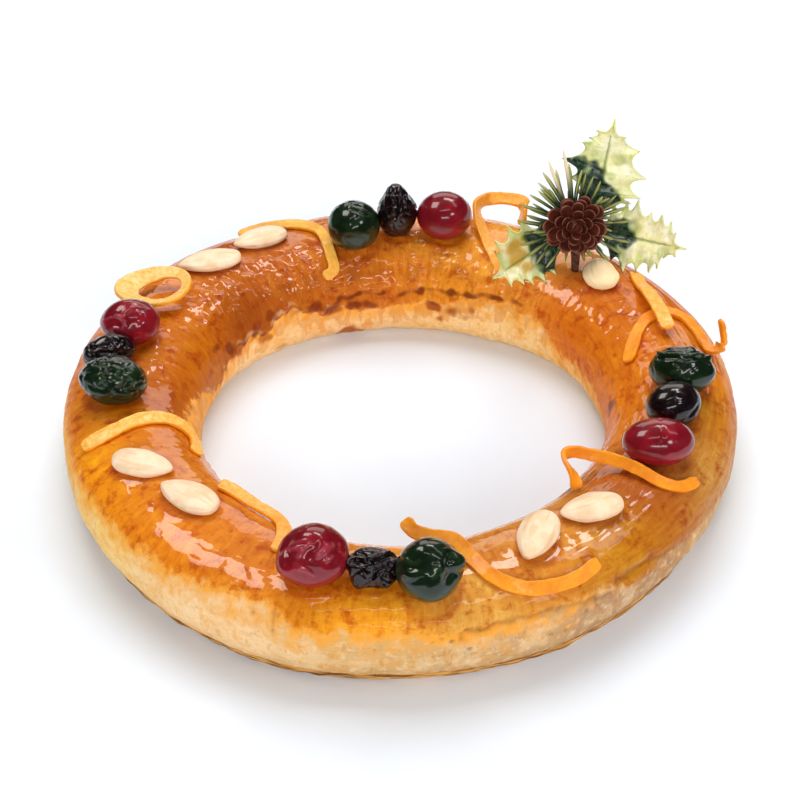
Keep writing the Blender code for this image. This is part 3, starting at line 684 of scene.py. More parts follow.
# Swellings, wrinkles and folds in the crust.
def addRelief(skin):
    stretch, across, above, glaze = skin.stretch, skin.across, skin.above, skin.glaze
    right, bare = stretch["right"], 1 - glaze
    wrinkled = stretch["wrinkled"] * smoothStep(4, -4, across) * smoothStep(10, 16, skin.height)
    wrinkled = wrinkled * np.clip(0.8 + 0.9 * ripple(skin.base, 12, 37), 0.3, 1.5)
    ribbed = stretch["ribbed"] * smoothStep(5, 0, above) * smoothStep(-9, -3, above)
    net = sum(depth * mound(strokes(skin, *shape), width) for depth, *shape, width in ring["net"])
    thin, thick = ring["rise"]["lip"]
    relief = swellSum("all", skin) + (ring["rise"]["glaze"] - net) * glaze
    relief += (thin + thick * stretch["thickLip"]) * skin.lip
    relief += wrinkled * foldSum("wrinkled", skin) + ribbed * foldSum("ribbed", skin)
    relief += stretch["folded"] * smoothStep(8, 0, across) * foldSum("folded", skin)
    relief += stretch["foldedLeft"] * smoothStep(10, 0, across) * foldSum("foldedLeft", skin)
    lengthways = foldSum("lengthways", skin) + swellSum("lengthways", skin)
    drawn = foldSum("slanted", skin) * (1 - right) + lengthways * right
    relief += (0.35 + 0.65 * right) * glaze * drawn
    relief += stretch["dimpled"] * smoothStep(8, 1, above) * glaze * swellSum("dimpled", skin)
    crust = foldSum("crust", skin) + swellSum("crust", skin) + right * foldSum("rightCrust", skin)
    skin.relief = relief + bare * (crust + smoothStep(0, -4, across) * foldSum("torn", skin))


# Thin amber patches that ran down the inner wall, with bare crust between them.
def addPatches(skin):
    spread = foldSum("patches", skin) + 0.045 * np.clip(skin.above + 5.5, -9, 6)
    patches = smoothStep(-14, -19, skin.across) * smoothStep(-0.10, 0.16, spread)
    skin.patches = patches * smoothStep(-10.5, -7, skin.above) * (1 - skin.glaze)


# Cracks and creases, with a raised lip each side, and small holes, each darkened with painted shade.
def addCracks(skin):
    # This mark is painted shade: dark along the creases and in the small holes.
    skin.crack = np.zeros_like(skin.height)
    for depth, width, line in ring["creases"]:
        line = smoothRun([outerPlace(*place) for place in line], 5)
        away = nearLine(skin.base + 0.9 * ripple(skin.base, 3.5, 20)[..., None], line)
        skin.relief -= depth * mound(away, width)
        skin.relief += 0.35 * depth * mound(away - 2.2 * width, 1.1 * width)
        skin.crack = np.maximum(skin.crack, 0.5 * mound(away, 0.75 * width))
    for bearing, height, size in ring["pits"]:
        away = np.linalg.norm(skin.base - outerPlace(bearing, height), axis=-1)
        skin.relief -= ring["pitDepth"] * mound(away, size)
        skin.crack = np.maximum(skin.crack, 0.8 * mound(away, 0.8 * size))


# Caramel marks, a little raised where the glaze is thick, and the broken line behind the hole. A
# few of the marks are painted shadow of the cherries.
def addCaramel(skin):
    base, rise = skin.base, ring["rise"]
    dark = np.zeros_like(skin.height)
    for bearing, across, height, size, strength in ring["darkMarks"]:
        middle = tubePoint(math.radians(bearing), across, height)
        if height > 24:
            middle = onPastry(math.radians(bearing), across)
        away = np.linalg.norm((base - middle) * [0.75, 0.75, 1.0], axis=-1)
        away += 2.0 * ripple(base, 4.2, 21)
        dark = np.maximum(dark, 0.8 * strength * smoothStep(1.5 * size, 0.3 * size, away))
    skin.relief += rise["mark"] * dark * smoothStep(0, -5, skin.across) + rise["patch"] * skin.patches
    line = smoothRun([tubePoint(math.radians(b), a, z) for b, a, z in ring["darkLine"]], 6)
    away = nearLine(base + 1.1 * ripple(base, 5, 22)[..., None], line) + 0.9 * ripple(base, 3, 33)
    share = np.clip(0.6 + 0.9 * ripple(base, 6, 34), 0.15, 1) * smoothStep(2.1, 0.0, away)
    skin.dark = np.maximum(dark, share)


# The foot is a stack of thin brown layers with a frilled edge. The underside is flat.
def addFoot(skin):
    base, circle, height = skin.base, skin.circle, skin.height
    layers = np.sin(height * 4.6 + 2.5 * ripple(circle, 30, 23))
    layers += 0.6 * np.sin(height * 9.1 + 3 * ripple(circle, 16, 24))
    frill = 0.5 * ripple(base * [1, 1, 2.5], 5, 25) + 0.4 * ripple(base, 12, 26)
    flaky = smoothStep(0, 1.5, height) * (ring["layerDepth"] * layers + frill)
    skin.relief = np.where(skin.isFoot, flaky, skin.relief) * ~skin.isUnder


# Glaze creeps up to each cherry and almond and stands there in a pool, painted darker: partly
# thicker glaze and partly painted shade round each topping's foot.
def addPools(skin):
    skin.pool = np.zeros_like(skin.height)
    for middle, half in toppingFootprints():
        off = (skin.base - middle)[..., :2] / half[:2]
        away = (np.linalg.norm(off, axis=-1) - 0.92) * half[:2].mean()
        near = mound(np.maximum(away, -1), ring["poolReach"]) * (skin.height > 20)
        skin.pool = np.maximum(skin.pool, near)
    skin.relief += ring["rise"]["pool"] * skin.pool


def makePastry():
    skin = pastrySkin()
    for add in (addGlaze, addRelief, addPatches, addCracks, addCaramel, addFoot, addPools):
        add(skin)
    points = skin.base + skin.normal * skin.relief[..., None]
    points[..., 2] = np.maximum(points[..., 2], 0)
    # The lip is pale only inside the ring at the left, and the gloss fades down both sides.
    lip = skin.lip * smoothStep(0, -5, skin.across) * skin.stretch["paleLip"]
    lip = lip * np.clip(0.7 + ripple(skin.base, 9, 42), 0, 1)
    sheen = 1 - 0.8 * np.maximum(smoothStep(13, 21, skin.across), smoothStep(-18, -22, skin.across))
    radius = ring["ridgeRadius"]
    marks = {
        "glaze": skin.glaze, "gold": skin.gold, "dark": skin.dark, "crack": skin.crack,
        "foot": skin.isFoot, "pool": skin.pool, "lip": lip, "sheen": sheen, "patch": skin.patches,
        "right": skin.stretch["right"],
        "flow": np.stack([np.cos(skin.turn) * radius, np.sin(skin.turn) * radius, skin.arc], -1),
        "tint": blendTints(skin.base, ring["glazeTints"], ring["tintReach"]),
        "pale": blendTints(skin.base, ring["crustTints"], ring["crustReach"])}
    makePiece("pastry_ring", [(points, marks)], pastryMaterial(), wrapRows=True)


# Patterns drawn out over the crust: spacing round the ring, length up its side, and detail.
drawnOut = {"upward": (1.8, 8, 3), "lengthways": (9, 1.4, 3), "flake": (5, 1.3, 4), "vein": (1.5, 4, 3)}
# Colours that multiply the one under them.
deep, rich, light = (0.70, 0.40, 0.22, 1), (0.88, 0.72, 0.54, 1), (1.10, 1.30, 1.5, 1)
toast, shade = (0.84, 0.70, 0.54, 1), (0.86, 0.74, 0.58, 1)
# Puff pastry baked under egg wash and syrup: deep amber and wet where glazed, matt and flaky below.
pastryLooks = {
    "noises": {
        "broad": (11, 4, 0.6), "blotch": (5, 5, 0.65), "mottle": (3, 4, 0.6), "fine": (0.9, 3, 0.6)},
    "marks": ("glaze", "right", "pool", "lip", "gold", "patch", "dark", "crack", "foot", "sheen"),
    "nodes": {
        "streak": ("Mix", {"data_type": "FLOAT"}, {0: "right", 2: "upward", 3: "lengthways"}),
        "ragged": ("MapRange", {}, ranged("mottle", 0.3, 0.7, -0.25, 0.25)),
        "clouded": ("MapRange", {}, ranged("blotch", 0.35, 0.65, -0.28, 0.28)),
        "edge": ("Math", {"operation": "ADD"}, {0: "glaze", 1: "ragged"}),
        "goldEdge": ("Math", {"operation": "ADD"}, {0: "gold", 1: "clouded"}),
        "patchEdge": ("Math", {"operation": "ADD"}, {0: "patch", 1: "ragged"}),
        "grain": ("Math", {"operation": "ADD"}, {0: "mottle", 1: "flake"}),
        "glazed": ("MapRange", smooth, ranged("edge", 0.18, 0.82, 0, 1)),
        "wet": ("Math", {"operation": "MULTIPLY"}, {0: "glazed", 1: "sheen"}),
        "level": ("Mapping", {}, {"Vector": "place", "Scale": (0.10, 0.10, 1.6)}),
        "layer": ("TexNoise", {}, {"Vector": "level", "Scale": 1 / mm, "Detail": 4}, "Fac")},
    "blends": {
        # Under the glaze: amber with paler and deeper clouds, and streaks where the dough stretched.
        "amber": ("tint", [
            ("broad", 0.50, 0.70, 1.0, light), ("blotch", 0.50, 0.70, 1.0, deep),
            ("streak", 0.50, 0.70, 1.0, rich), ("streak", 0.48, 0.32, 0.8, light),
            ("mottle", 0.52, 0.70, 0.7, rich), ("fine", 0.60, 0.75, 0.6, deep),
            # The pool is darkened: thicker glaze, and painted shade round the foot of each topping.
            ("pool", 0, 1, 0.7, deep), ("lip", 0.2, 1, 0.45, "f2c890"),
            ("dark", 0.1, 0.8, 0.9, "762a06")]),
        # The bare crust: cream to tan with toasted flecks and thin lines between its layers.
        "crust": ("pale", [
            ("broad", 0.42, 0.62, 0.35, "f4d8ac"), ("blotch", 0.50, 0.72, 0.7, shade),
            ("flake", 0.54, 0.72, 0.7, toast), ("vein", 0.54, 0.72, 0.9, toast),
            ("fine", 0.56, 0.74, 0.7, toast), ("mottle", 0.48, 0.34, 0.3, "f8e0b8"),
            ("goldEdge", 0.0, 1.05, 0.9, "f0a030"), ("patchEdge", 0.35, 0.85, 0.45, "d48632"),
            ("dark", 0.1, 0.8, 0.9, "a04816")]),
        # Thin brown layers at the foot.
        "flaky": ("7c4c20", [("layer", 0.38, 0.60, 1.0, "d8a058")]),
        "all": ("crust", [
            # Painted shade in the cracks, creases and holes.
            ("glazed", 0, 1, 1.0, "amber"), ("crack", 0, 1, 0.85, "6a3a16"),
            ("foot", 0.3, 0.7, 1.0, "flaky")])},
    "rough": ("glazed", 0, 1, 0.68, 0.48), "bump": ("grain", 0.6, 0.3),
    "settings": {"IOR": 1.45, "Specular IOR Level": 0.12, "Coat Weight": "wet", "Coat Roughness": 0.05,
                 "Coat IOR": 1.5},
}


def pastryMaterial():
    nodes = {name: ("Attribute", {"attribute_name": name}, {}, "Color")
             for name in ("flow", "tint", "pale")}
    for name, (apart, length, detail) in drawnOut.items():
        scale = (1 / apart, 1 / apart, 1 / length)
        nodes[name + "Place"] = ("Mapping", {}, {"Vector": "flow", "Scale": scale})
        nodes[name] = ("TexNoise", {}, {
            "Vector": name + "Place", "Scale": 1, "Detail": detail, "Roughness": 0.6}, "Fac")
    nodes.update(pastryLooks["nodes"])
    return makeMaterial("baked glazed puff pastry", {**pastryLooks, "nodes": nodes})


makePastry()
print("pastry ring done")


# Bearing, across, size (length, depth, height), turn, syrup colour, and the shape: lumps as place,
# spread and height; folds as height, width and a line of places; wrinkles as size and depth.
# Places are to the right and up on the side that faces the camera, from -1 to 1.
cherries = {
    "cherry_red_front": {
        "spot": (-105.7, 5.6), "size": (23.0, 20.6, 19.2), "turn": 10, "colour": "red",
        "wrinkles": (9.0, 0.14), "sway": 0.35,
        "lumps": [
            (-0.78, -0.3, 0.42, 2.0), (0.72, -0.4, 0.4, 1.3), (0.0, -0.85, 0.5, 0.8),
            (0.1, 0.62, 0.5, 1.0), (-0.72, 0.42, 0.34, -1.3), (0.82, 0.28, 0.3, -1.0)],
        "folds": [
            (0.45, 0.1, [(-0.72, 0.22), (-0.46, 0.3), (-0.3, 0.28)]),
            (0.5, 0.09, [(-0.34, 0.05), (-0.2, 0.28), (-0.06, 0.4)]),
            (0.45, 0.08, [(-0.62, 0.42), (-0.4, 0.48), (-0.15, 0.52)]),
            (0.5, 0.09, [(0.16, 0.05), (0.32, 0.24), (0.42, 0.34)]),
            (0.4, 0.08, [(0.36, 0.1), (0.48, 0.26), (0.55, 0.36)]),
            (0.35, 0.07, [(0.4, -0.1), (0.55, 0.02)]),
            (-0.5, 0.08, [(-0.62, -0.22), (-0.6, 0.0), (-0.66, 0.18)]),
            (0.3, 0.06, [(-0.32, -0.34), (-0.12, -0.42), (0.04, -0.56)])]},
    "cherry_dark_front": {
        "spot": (-95.0, 5.6), "size": (16.8, 14.0, 12.2), "turn": -5, "colour": "dark",
        "wrinkles": (3.4, 0.55), "sway": 0.7,
        "lumps": [
            (-0.55, -0.75, 0.35, 1.6), (0.5, -0.75, 0.3, 1.2), (0.0, -0.85, 0.3, -1.6),
            (-0.42, 0.05, 0.4, 0.6), (0.7, 0.5, 0.35, 1.0), (-0.85, 0.25, 0.3, 0.9)],
        "folds": [
            (-0.9, 0.11, [(-0.75, 0.35), (-0.2, 0.3), (0.3, 0.42), (0.8, 0.5)]),
            (-0.7, 0.1, [(-0.05, -0.35), (0.15, 0.05), (0.6, 0.2)]),
            (0.5, 0.09, [(-0.6, 0.55), (0.0, 0.6), (0.6, 0.72)]),
            (-0.7, 0.1, [(0.35, -0.65), (0.45, -0.25), (0.85, 0.0)]),
            (0.45, 0.08, [(-0.15, 0.12), (0.2, 0.2), (0.5, 0.4)])]},
    "cherry_green_front": {
        "spot": (-85.4, 10.6), "size": (21.0, 20.4, 20.2), "turn": 0, "colour": "green",
        "wrinkles": (7.0, 0.12), "sway": 0.4,
        "lumps": [
            (-0.15, 0.78, 0.42, 1.1), (0.88, 0.3, 0.3, 2.4), (0.62, -0.18, 0.22, -1.6),
            (-0.55, 0.28, 0.28, -0.9), (-0.62, -0.05, 0.26, 0.7), (0.1, -0.75, 0.45, 0.8)],
        "folds": [
            (-0.7, 0.1, [(0.95, -0.05), (0.66, 0.02), (0.55, 0.25), (0.6, 0.5)]),
            (0.25, 0.08, [(-0.72, 0.42), (-0.5, 0.28), (-0.3, 0.36)]),
            (-0.3, 0.09, [(-0.85, 0.12), (-0.55, 0.14), (-0.25, 0.1)]),
            (-0.25, 0.08, [(-0.7, -0.22), (-0.45, -0.26), (-0.2, -0.16)]),
            (0.2, 0.07, [(0.12, 0.22), (0.2, 0.02), (0.1, -0.12)]),
            (0.2, 0.07, [(0.26, 0.2), (0.38, 0.0), (0.42, -0.12)])]},
    "cherry_red_left": {
        "spot": (164.4, 4.2), "size": (21.8, 18.6, 16.0), "turn": 5, "colour": "red",
        "wrinkles": (9.0, 0.12), "sway": 0.2,
        "lumps": [(-0.42, 0.02, 0.26, -1.0), (0.72, -0.55, 0.35, 0.9), (-0.1, 0.85, 0.4, 0.5)],
        "folds": [
            (0.5, 0.06, [(-0.42, 0.32), (-0.22, 0.22), (-0.12, 0.0), (-0.18, -0.22)]),
            (0.4, 0.06, [(-0.22, 0.26), (-0.02, 0.5), (0.22, 0.66), (0.45, 0.6)]),
            (0.35, 0.05, [(-0.88, 0.08), (-0.68, 0.18), (-0.42, 0.3)]),
            (0.3, 0.06, [(-0.7, -0.32), (-0.45, -0.22), (-0.18, -0.28)])]},
    "cherry_dark_left": {
        "spot": (173.2, 8.2), "size": (19.4, 10.8, 13.2), "turn": 20, "colour": "dark",
        "wrinkles": (4.5, 0.28), "sway": 0.3,
        "lumps": [(0.92, 0.0, 0.25, 1.0), (0.1, 0.75, 0.4, 0.5)],
        "folds": [
            (-0.5, 0.09, [(-0.75, 0.35), (-0.35, 0.15), (0.0, 0.32)]),
            (-0.4, 0.09, [(0.9, -0.12), (0.45, -0.2), (0.0, -0.12)]),
            (0.35, 0.08, [(-0.5, -0.05), (-0.2, 0.12), (0.1, 0.0)])]},
    "cherry_green_left": {
        "spot": (-176.8, 4.8), "size": (24.0, 18.8, 16.2), "turn": -15, "colour": "green",
        "wrinkles": (3.6, 0.4), "sway": 0.5,
        "lumps": [
            (-0.55, 0.55, 0.4, 0.7), (0.55, 0.2, 0.35, 0.7), (0.35, -0.45, 0.3, 0.6),
            (-0.45, -0.25, 0.25, -0.9)],
        "folds": [
            (0.7, 0.08, [(0.08, 0.55), (0.25, 0.4), (0.14, 0.22), (0.3, 0.06), (0.2, -0.12)]),
            (0.7, 0.08, [(0.45, 0.5), (0.58, 0.34), (0.46, 0.18), (0.6, 0.02), (0.52, -0.2)]),
            (-0.7, 0.09, [(-0.05, 0.4), (-0.22, 0.15), (-0.1, -0.1), (-0.25, -0.35)]),
            (0.6, 0.07, [(-0.3, 0.06), (-0.46, -0.12), (-0.3, -0.3)]),
            (0.5, 0.07, [(0.4, -0.35), (0.52, -0.45), (0.44, -0.6), (0.34, -0.48)]),
            (-0.6, 0.08, [(-0.9, 0.15), (-0.55, 0.28), (-0.1, 0.45)]),
            (0.4, 0.06, [(-0.72, 0.62), (-0.45, 0.5), (-0.22, 0.62)])]},
    "cherry_green_back": {
        "spot": (100.8, -7.0), "size": (20.2, 19.4, 19.2), "turn": 0, "colour": "green",
        "wrinkles": (6.5, 0.16), "sway": 0.15,
        "lumps": [(0.42, 0.72, 0.3, 0.7), (0.62, 0.5, 0.16, -0.7)],
        "folds": [
            (0.4, 0.06, [(-0.15, 0.72), (0.1, 0.6), (0.38, 0.5), (0.62, 0.42)]),
            (-0.3, 0.07, [(-0.05, 0.6), (0.22, 0.48), (0.55, 0.34)])]},
    "cherry_dark_back": {
        "spot": (90.0, -1.6), "size": (15.4, 15.4, 20.8), "turn": 0, "colour": "dark",
        "wrinkles": (3.6, 0.45), "sway": 0.25,
        "lumps": [
            (-0.1, 0.9, 0.4, 1.1), (-0.75, 0.62, 0.32, -1.1), (0.72, 0.66, 0.3, -1.3),
            (0.25, -0.5, 0.4, 0.4)],
        "folds": [
            (-0.5, 0.09, [(0.0, 0.9), (-0.12, 0.5), (0.02, 0.1), (-0.1, -0.4)]),
            (0.4, 0.08, [(-0.5, 0.5), (-0.6, 0.1), (-0.45, -0.3)]),
            (-0.4, 0.09, [(0.4, 0.6), (0.3, 0.2), (0.45, -0.3)]),
            (0.35, 0.07, [(0.1, 0.75), (0.2, 0.45), (0.12, 0.2)])]},
    "cherry_red_back": {
        "spot": (78.8, -0.4), "size": (21.2, 19.8, 18.4), "turn": 0, "colour": "red",
        "wrinkles": (9.0, 0.05), "sway": 0.05,
        "lumps": [(0.0, -0.8, 0.5, 0.3)],
        "folds": []},
    "cherry_green_right": {
        "spot": (-3.6, 2.6), "size": (22.8, 17.4, 16.8), "turn": -10, "colour": "green",
        "wrinkles": (5.5, 0.18), "sway": 0.2,
        "lumps": [
            (-0.66, 0.66, 0.13, 1.0), (0.8, 0.55, 0.12, 1.0), (0.0, 0.55, 0.5, 0.3),
            (0.92, -0.1, 0.3, 0.5), (-0.35, 0.9, 0.12, 0.7), (0.3, 0.92, 0.12, 0.6)],
        "folds": [
            (0.8, 0.06, [(-0.7, 0.62), (-0.35, 0.66), (0.1, 0.6), (0.5, 0.66), (0.85, 0.48)]),
            (-0.6, 0.07, [(-0.72, 0.46), (-0.35, 0.5), (0.1, 0.44), (0.5, 0.5), (0.8, 0.34)]),
            (0.3, 0.06, [(-0.35, 0.2), (-0.22, 0.05), (-0.38, -0.06)])]},
    "cherry_dark_right": {
        "spot": (-14.0, 1.2), "size": (20.0, 16.6, 15.6), "turn": 25, "colour": "dark",
        "wrinkles": (6.0, 0.14), "sway": 0.1,
        "lumps": [(0.75, -0.55, 0.25, 0.5), (0.1, 0.5, 0.4, 0.3)],
        "folds": [
            (-0.35, 0.08, [(0.25, -0.75), (0.55, -0.45), (0.85, -0.1)]),
            (0.3, 0.07, [(0.45, -0.75), (0.7, -0.45)]),
            (0.2, 0.07, [(0.0, 0.35), (0.15, 0.5), (0.35, 0.45)])]},
    "cherry_red_right": {
        "spot": (-26.6, 2.6), "size": (24.6, 18.0, 15.6), "turn": 0, "colour": "red",
        "wrinkles": (9.0, 0.08), "sway": 0.08,
        "lumps": [(0.3, -0.7, 0.5, 0.3)],
        "folds": [(-0.18, 0.06, [(0.02, 0.95), (0.06, 0.5), (0.02, 0.0), (0.06, -0.4)])]},
}
# The grid, how much of its half height each cherry stands up, and how far it may sink in.
cherryForm = {"rows": 66, "columns": 104, "stand": 0.88, "sink": 0.3}


def viewPlace(right, up):
    depth = math.sqrt(max(1 - right * right - up * up, 0))
    return rightInView * right + upInView * up + towardsView * depth


def cherryMesh(index, cherry):
    half = np.array(cherry["size"]) / 2
    bearing, across = cherry["spot"]
    middle = onPastry(math.radians(bearing), across) + np.array([0, 0, cherryForm["stand"] * half[2]])
    polar = np.linspace(0, math.pi, cherryForm["rows"] + 2)[1:-1, None]
    turn = fullTurn(cherryForm["columns"])[None, :]
    level = np.sin(polar)
    way = np.stack([level * np.cos(turn), level * np.sin(turn), np.cos(polar) + 0 * turn], -1)
    spin = spinAbout(cherry["turn"])
    seen, out = way @ spin.T, unit((way / half) @ spin.T)
    points = middle + (way * half) @ spin.T
    size, depth = cherry["wrinkles"]
    push = cherry["sway"] * ripple(points, 8, 30 + index)
    push -= depth * (mound(ripple(points, size, 31 + index), 0.16) - 0.4)
    for right, up, spread, height in cherry["lumps"]:
        push += height * mound(np.linalg.norm(seen - viewPlace(right, up), axis=-1), spread)
    # line follows the crests of the raised folds, which get a paler painted highlight.
    line = 0 * push
    for height, width, places in cherry["folds"]:
        run = smoothRun([viewPlace(*place) for place in places], 4)
        away = nearLine(seen, run) + 0.03 * ripple(points, 3, 50 + index)
        ridge = mound(away, width)
        push += height * (ridge - 0.3 * mound(away - 1.9 * width, width))
        line = np.maximum(line, ridge if height > 0 else 0)
    points = clearOfPastry(points + out * push[..., None], -cherryForm["sink"])
    # Painted glow: the lower part of each cherry is lightened with the flesh colour, as if lit through.
    low = smoothStep(0.55, -0.75, (points[..., 2] - middle[2]) / half[2])
    return points, {"low": low, "line": line}


# The skin's deep colour, the lighter flesh that shows where light comes through (also laid on the
# lower part as a painted glow), a paler painted highlight along the raised folds, and the skin's tooth.
syrups = {
    "red": {"skin": "6c0a17", "flesh": "9e1224", "crease": "b8485a", "tooth": 0.12},
    "green": {"skin": "0b190b", "flesh": "1c3416", "crease": "2c4024", "tooth": 0.20},
    "dark": {"skin": "0e0608", "flesh": "200c10", "crease": "281618", "tooth": 0.24},
}


def cherryMaterial(kind):
    # Cherries candied in sugar syrup: wet and translucent, so each shows broad soft highlights.
    syrup = syrups[kind]
    return makeMaterial(kind + " cherry candied in syrup", {
        "noises": {"cloud": (5, 3, 0.5), "fine": (0.8, 4, 0.6)}, "marks": ("low", "line"),
        "blends": {"skin": (syrup["skin"], [
            # The flesh colour low down is a painted glow, and the fold highlight colour along the
            # crests is a painted highlight.
            ("cloud", 0.40, 0.75, 0.5, syrup["flesh"]), ("low", 0, 1, 0.5, syrup["flesh"]),
            ("line", 0, 1, 0.35, syrup["crease"])])},
        "rough": ("fine", 0.3, 0.7, 0.28, 0.40), "bump": ("fine", syrup["tooth"], 0.2),
        "settings": {
            "IOR": 1.45, "Specular IOR Level": 0.15, "Coat Weight": 1.0, "Coat Roughness": 0.10,
            "Coat IOR": 1.5}})


def makeCherries():
    materials = {kind: cherryMaterial(kind) for kind in syrups}
    for index, (node, cherry) in enumerate(cherries.items()):
        kind = cherry["colour"]
        makePiece(node, [cherryMesh(index, cherry)], materials[kind])


makeCherries()
print("cherries done")


# Bearing, across, length, width, thickness, the bearing the point faces, how far the brown rim
# shows, and how warm and uneven the nut is. Warm is partly painted light: it lightens the almond
# that lies in the pick's shade.
almonds = {
    "almond_back_outer": (134.6, 3.9, 24.5, 13.0, 5.6, 193, 0.3, 0),
    "almond_back_inner": (121.0, 6.0, 22.0, 12.6, 5.8, 206, 0.8, 0),
    "almond_left_outer": (-151.8, 3.4, 22.4, 12.8, 5.6, -21, 0.3, 0),
    "almond_left_inner": (-137.5, -0.5, 24.0, 13.2, 5.8, 142, 0.6, 0),
    "almond_front_left": (-63.1, 1.0, 23.6, 13.2, 6.6, 249, 0.3, 0),
    "almond_front_right": (-49.2, 0.8, 22.0, 12.8, 6.4, 197, 0.4, 0),
    "almond_by_pick": (38.9, 0.9, 20.0, 13.6, 5.6, 95, 0.3, 1),
}
# The grid, how much of its thickness each almond stands up, the brown rim's width, and the depth of
# the veins and the dents, with what a warm nut adds to it.
almondForm = {
    "rows": 56, "columns": 64, "stand": 0.4, "rim": 0.22, "veins": (0.10, 0.3), "dents": (0.35, 0.6)}
# Blanched almond, skinned in hot water: creamy, satin, with fine veins running to the point.
almondLooks = {
    "noises": {"cloud": (6, 3, 0.5), "fine": (1.1, 4, 0.6)}, "marks": ("vein", "brown", "warm"),
    "nodes": {"veined": ("Math", {"operation": "MULTIPLY_ADD"}, {0: "vein", 1: 0.5, 2: "fine"})},
    "blends": {"cream": ("f4d9b8", [
        ("cloud", 0.35, 0.70, 1.0, "eac69c"), ("vein", 0.05, 0.6, 0.5, "d9aa78"),
        # The warm layer is partly a warmer tone and partly painted light on the almond in the pick's
        # shade.
        ("fine", 0.55, 0.75, 0.3, "d09c64"), ("warm", 0, 1, 0.8, "f8dca8"),
        ("brown", 0, 1, 1.0, "ac6a2e")])},
    "rough": ("cloud", 0.3, 0.7, 0.40, 0.52), "bump": ("veined", 0.3, 0.2),
    "settings": {"IOR": 1.46, "Specular IOR Level": 0.3, "Coat Weight": 0.15, "Coat Roughness": 0.2},
}


def almondMesh(index, bearing, across, length, width, thickness, facing, rim, warm):
    bearing, facing = math.radians(bearing), math.radians(facing)
    up = backNormal(bearing, across)
    along = np.array([math.cos(facing), math.sin(facing), 0])
    along = unit(along - up * (along @ up))
    beside = np.cross(up, along)
    middle = onPastry(bearing, across, almondForm["stand"] * thickness + 0.2)
    run = np.linspace(0.004, 0.992, almondForm["rows"])[:, None]
    run = 0.004 + 0.99 * (0.5 - 0.5 * np.cos(math.pi * run))
    turn = fullTurn(almondForm["columns"])[None, :]
    girth = np.maximum(np.sin(math.pi * run ** 0.82), 0) ** (0.46 + 0.2 * run)
    wide, tall = squared(np.cos(turn), 0.9), squared(np.sin(turn), 1.05)
    bend = 0.5 * math.sin(7.0 * index) * (2 * run - 1) ** 2
    points = (middle + along * length * (run - 0.5)[..., None]
              + beside * (0.5 * width * girth * wide + bend)[..., None]
              + up * (0.5 * thickness * girth ** 0.8 * tall)[..., None])
    local = np.stack(np.broadcast_arrays(run * length / 9, wide * width / 2.6, tall * 2.0), -1)
    veins, push = ripple(local + 10 * index, 1, 60), 0
    for name, pattern in (("veins", veins), ("dents", ripple(points, 7, 61))):
        depth, extra = almondForm[name]
        push = push + (depth + extra * warm) * pattern
    push = push - 0.5 * mound(run - 0.985, 0.03) * mound(wide, 0.35)
    out = unit(beside * wide[..., None] + up * (0.45 * tall)[..., None])
    points = clearOfPastry(points + out * (push * girth)[..., None], 0.05)
    brown = rim * mound(tall, almondForm["rim"]) * (0.6 + 0.4 * ripple(points, 3, 62))
    brown = np.maximum(brown, 0.5 * smoothStep(0.965, 0.995, run))
    return points, {"brown": brown, "vein": veins, "warm": warm}


def makeAlmonds():
    material = makeMaterial("blanched almond", almondLooks)
    for index, (node, almond) in enumerate(almonds.items()):
        makePiece(node, [almondMesh(index, *almond)], material)


makeAlmonds()
print("almonds done")


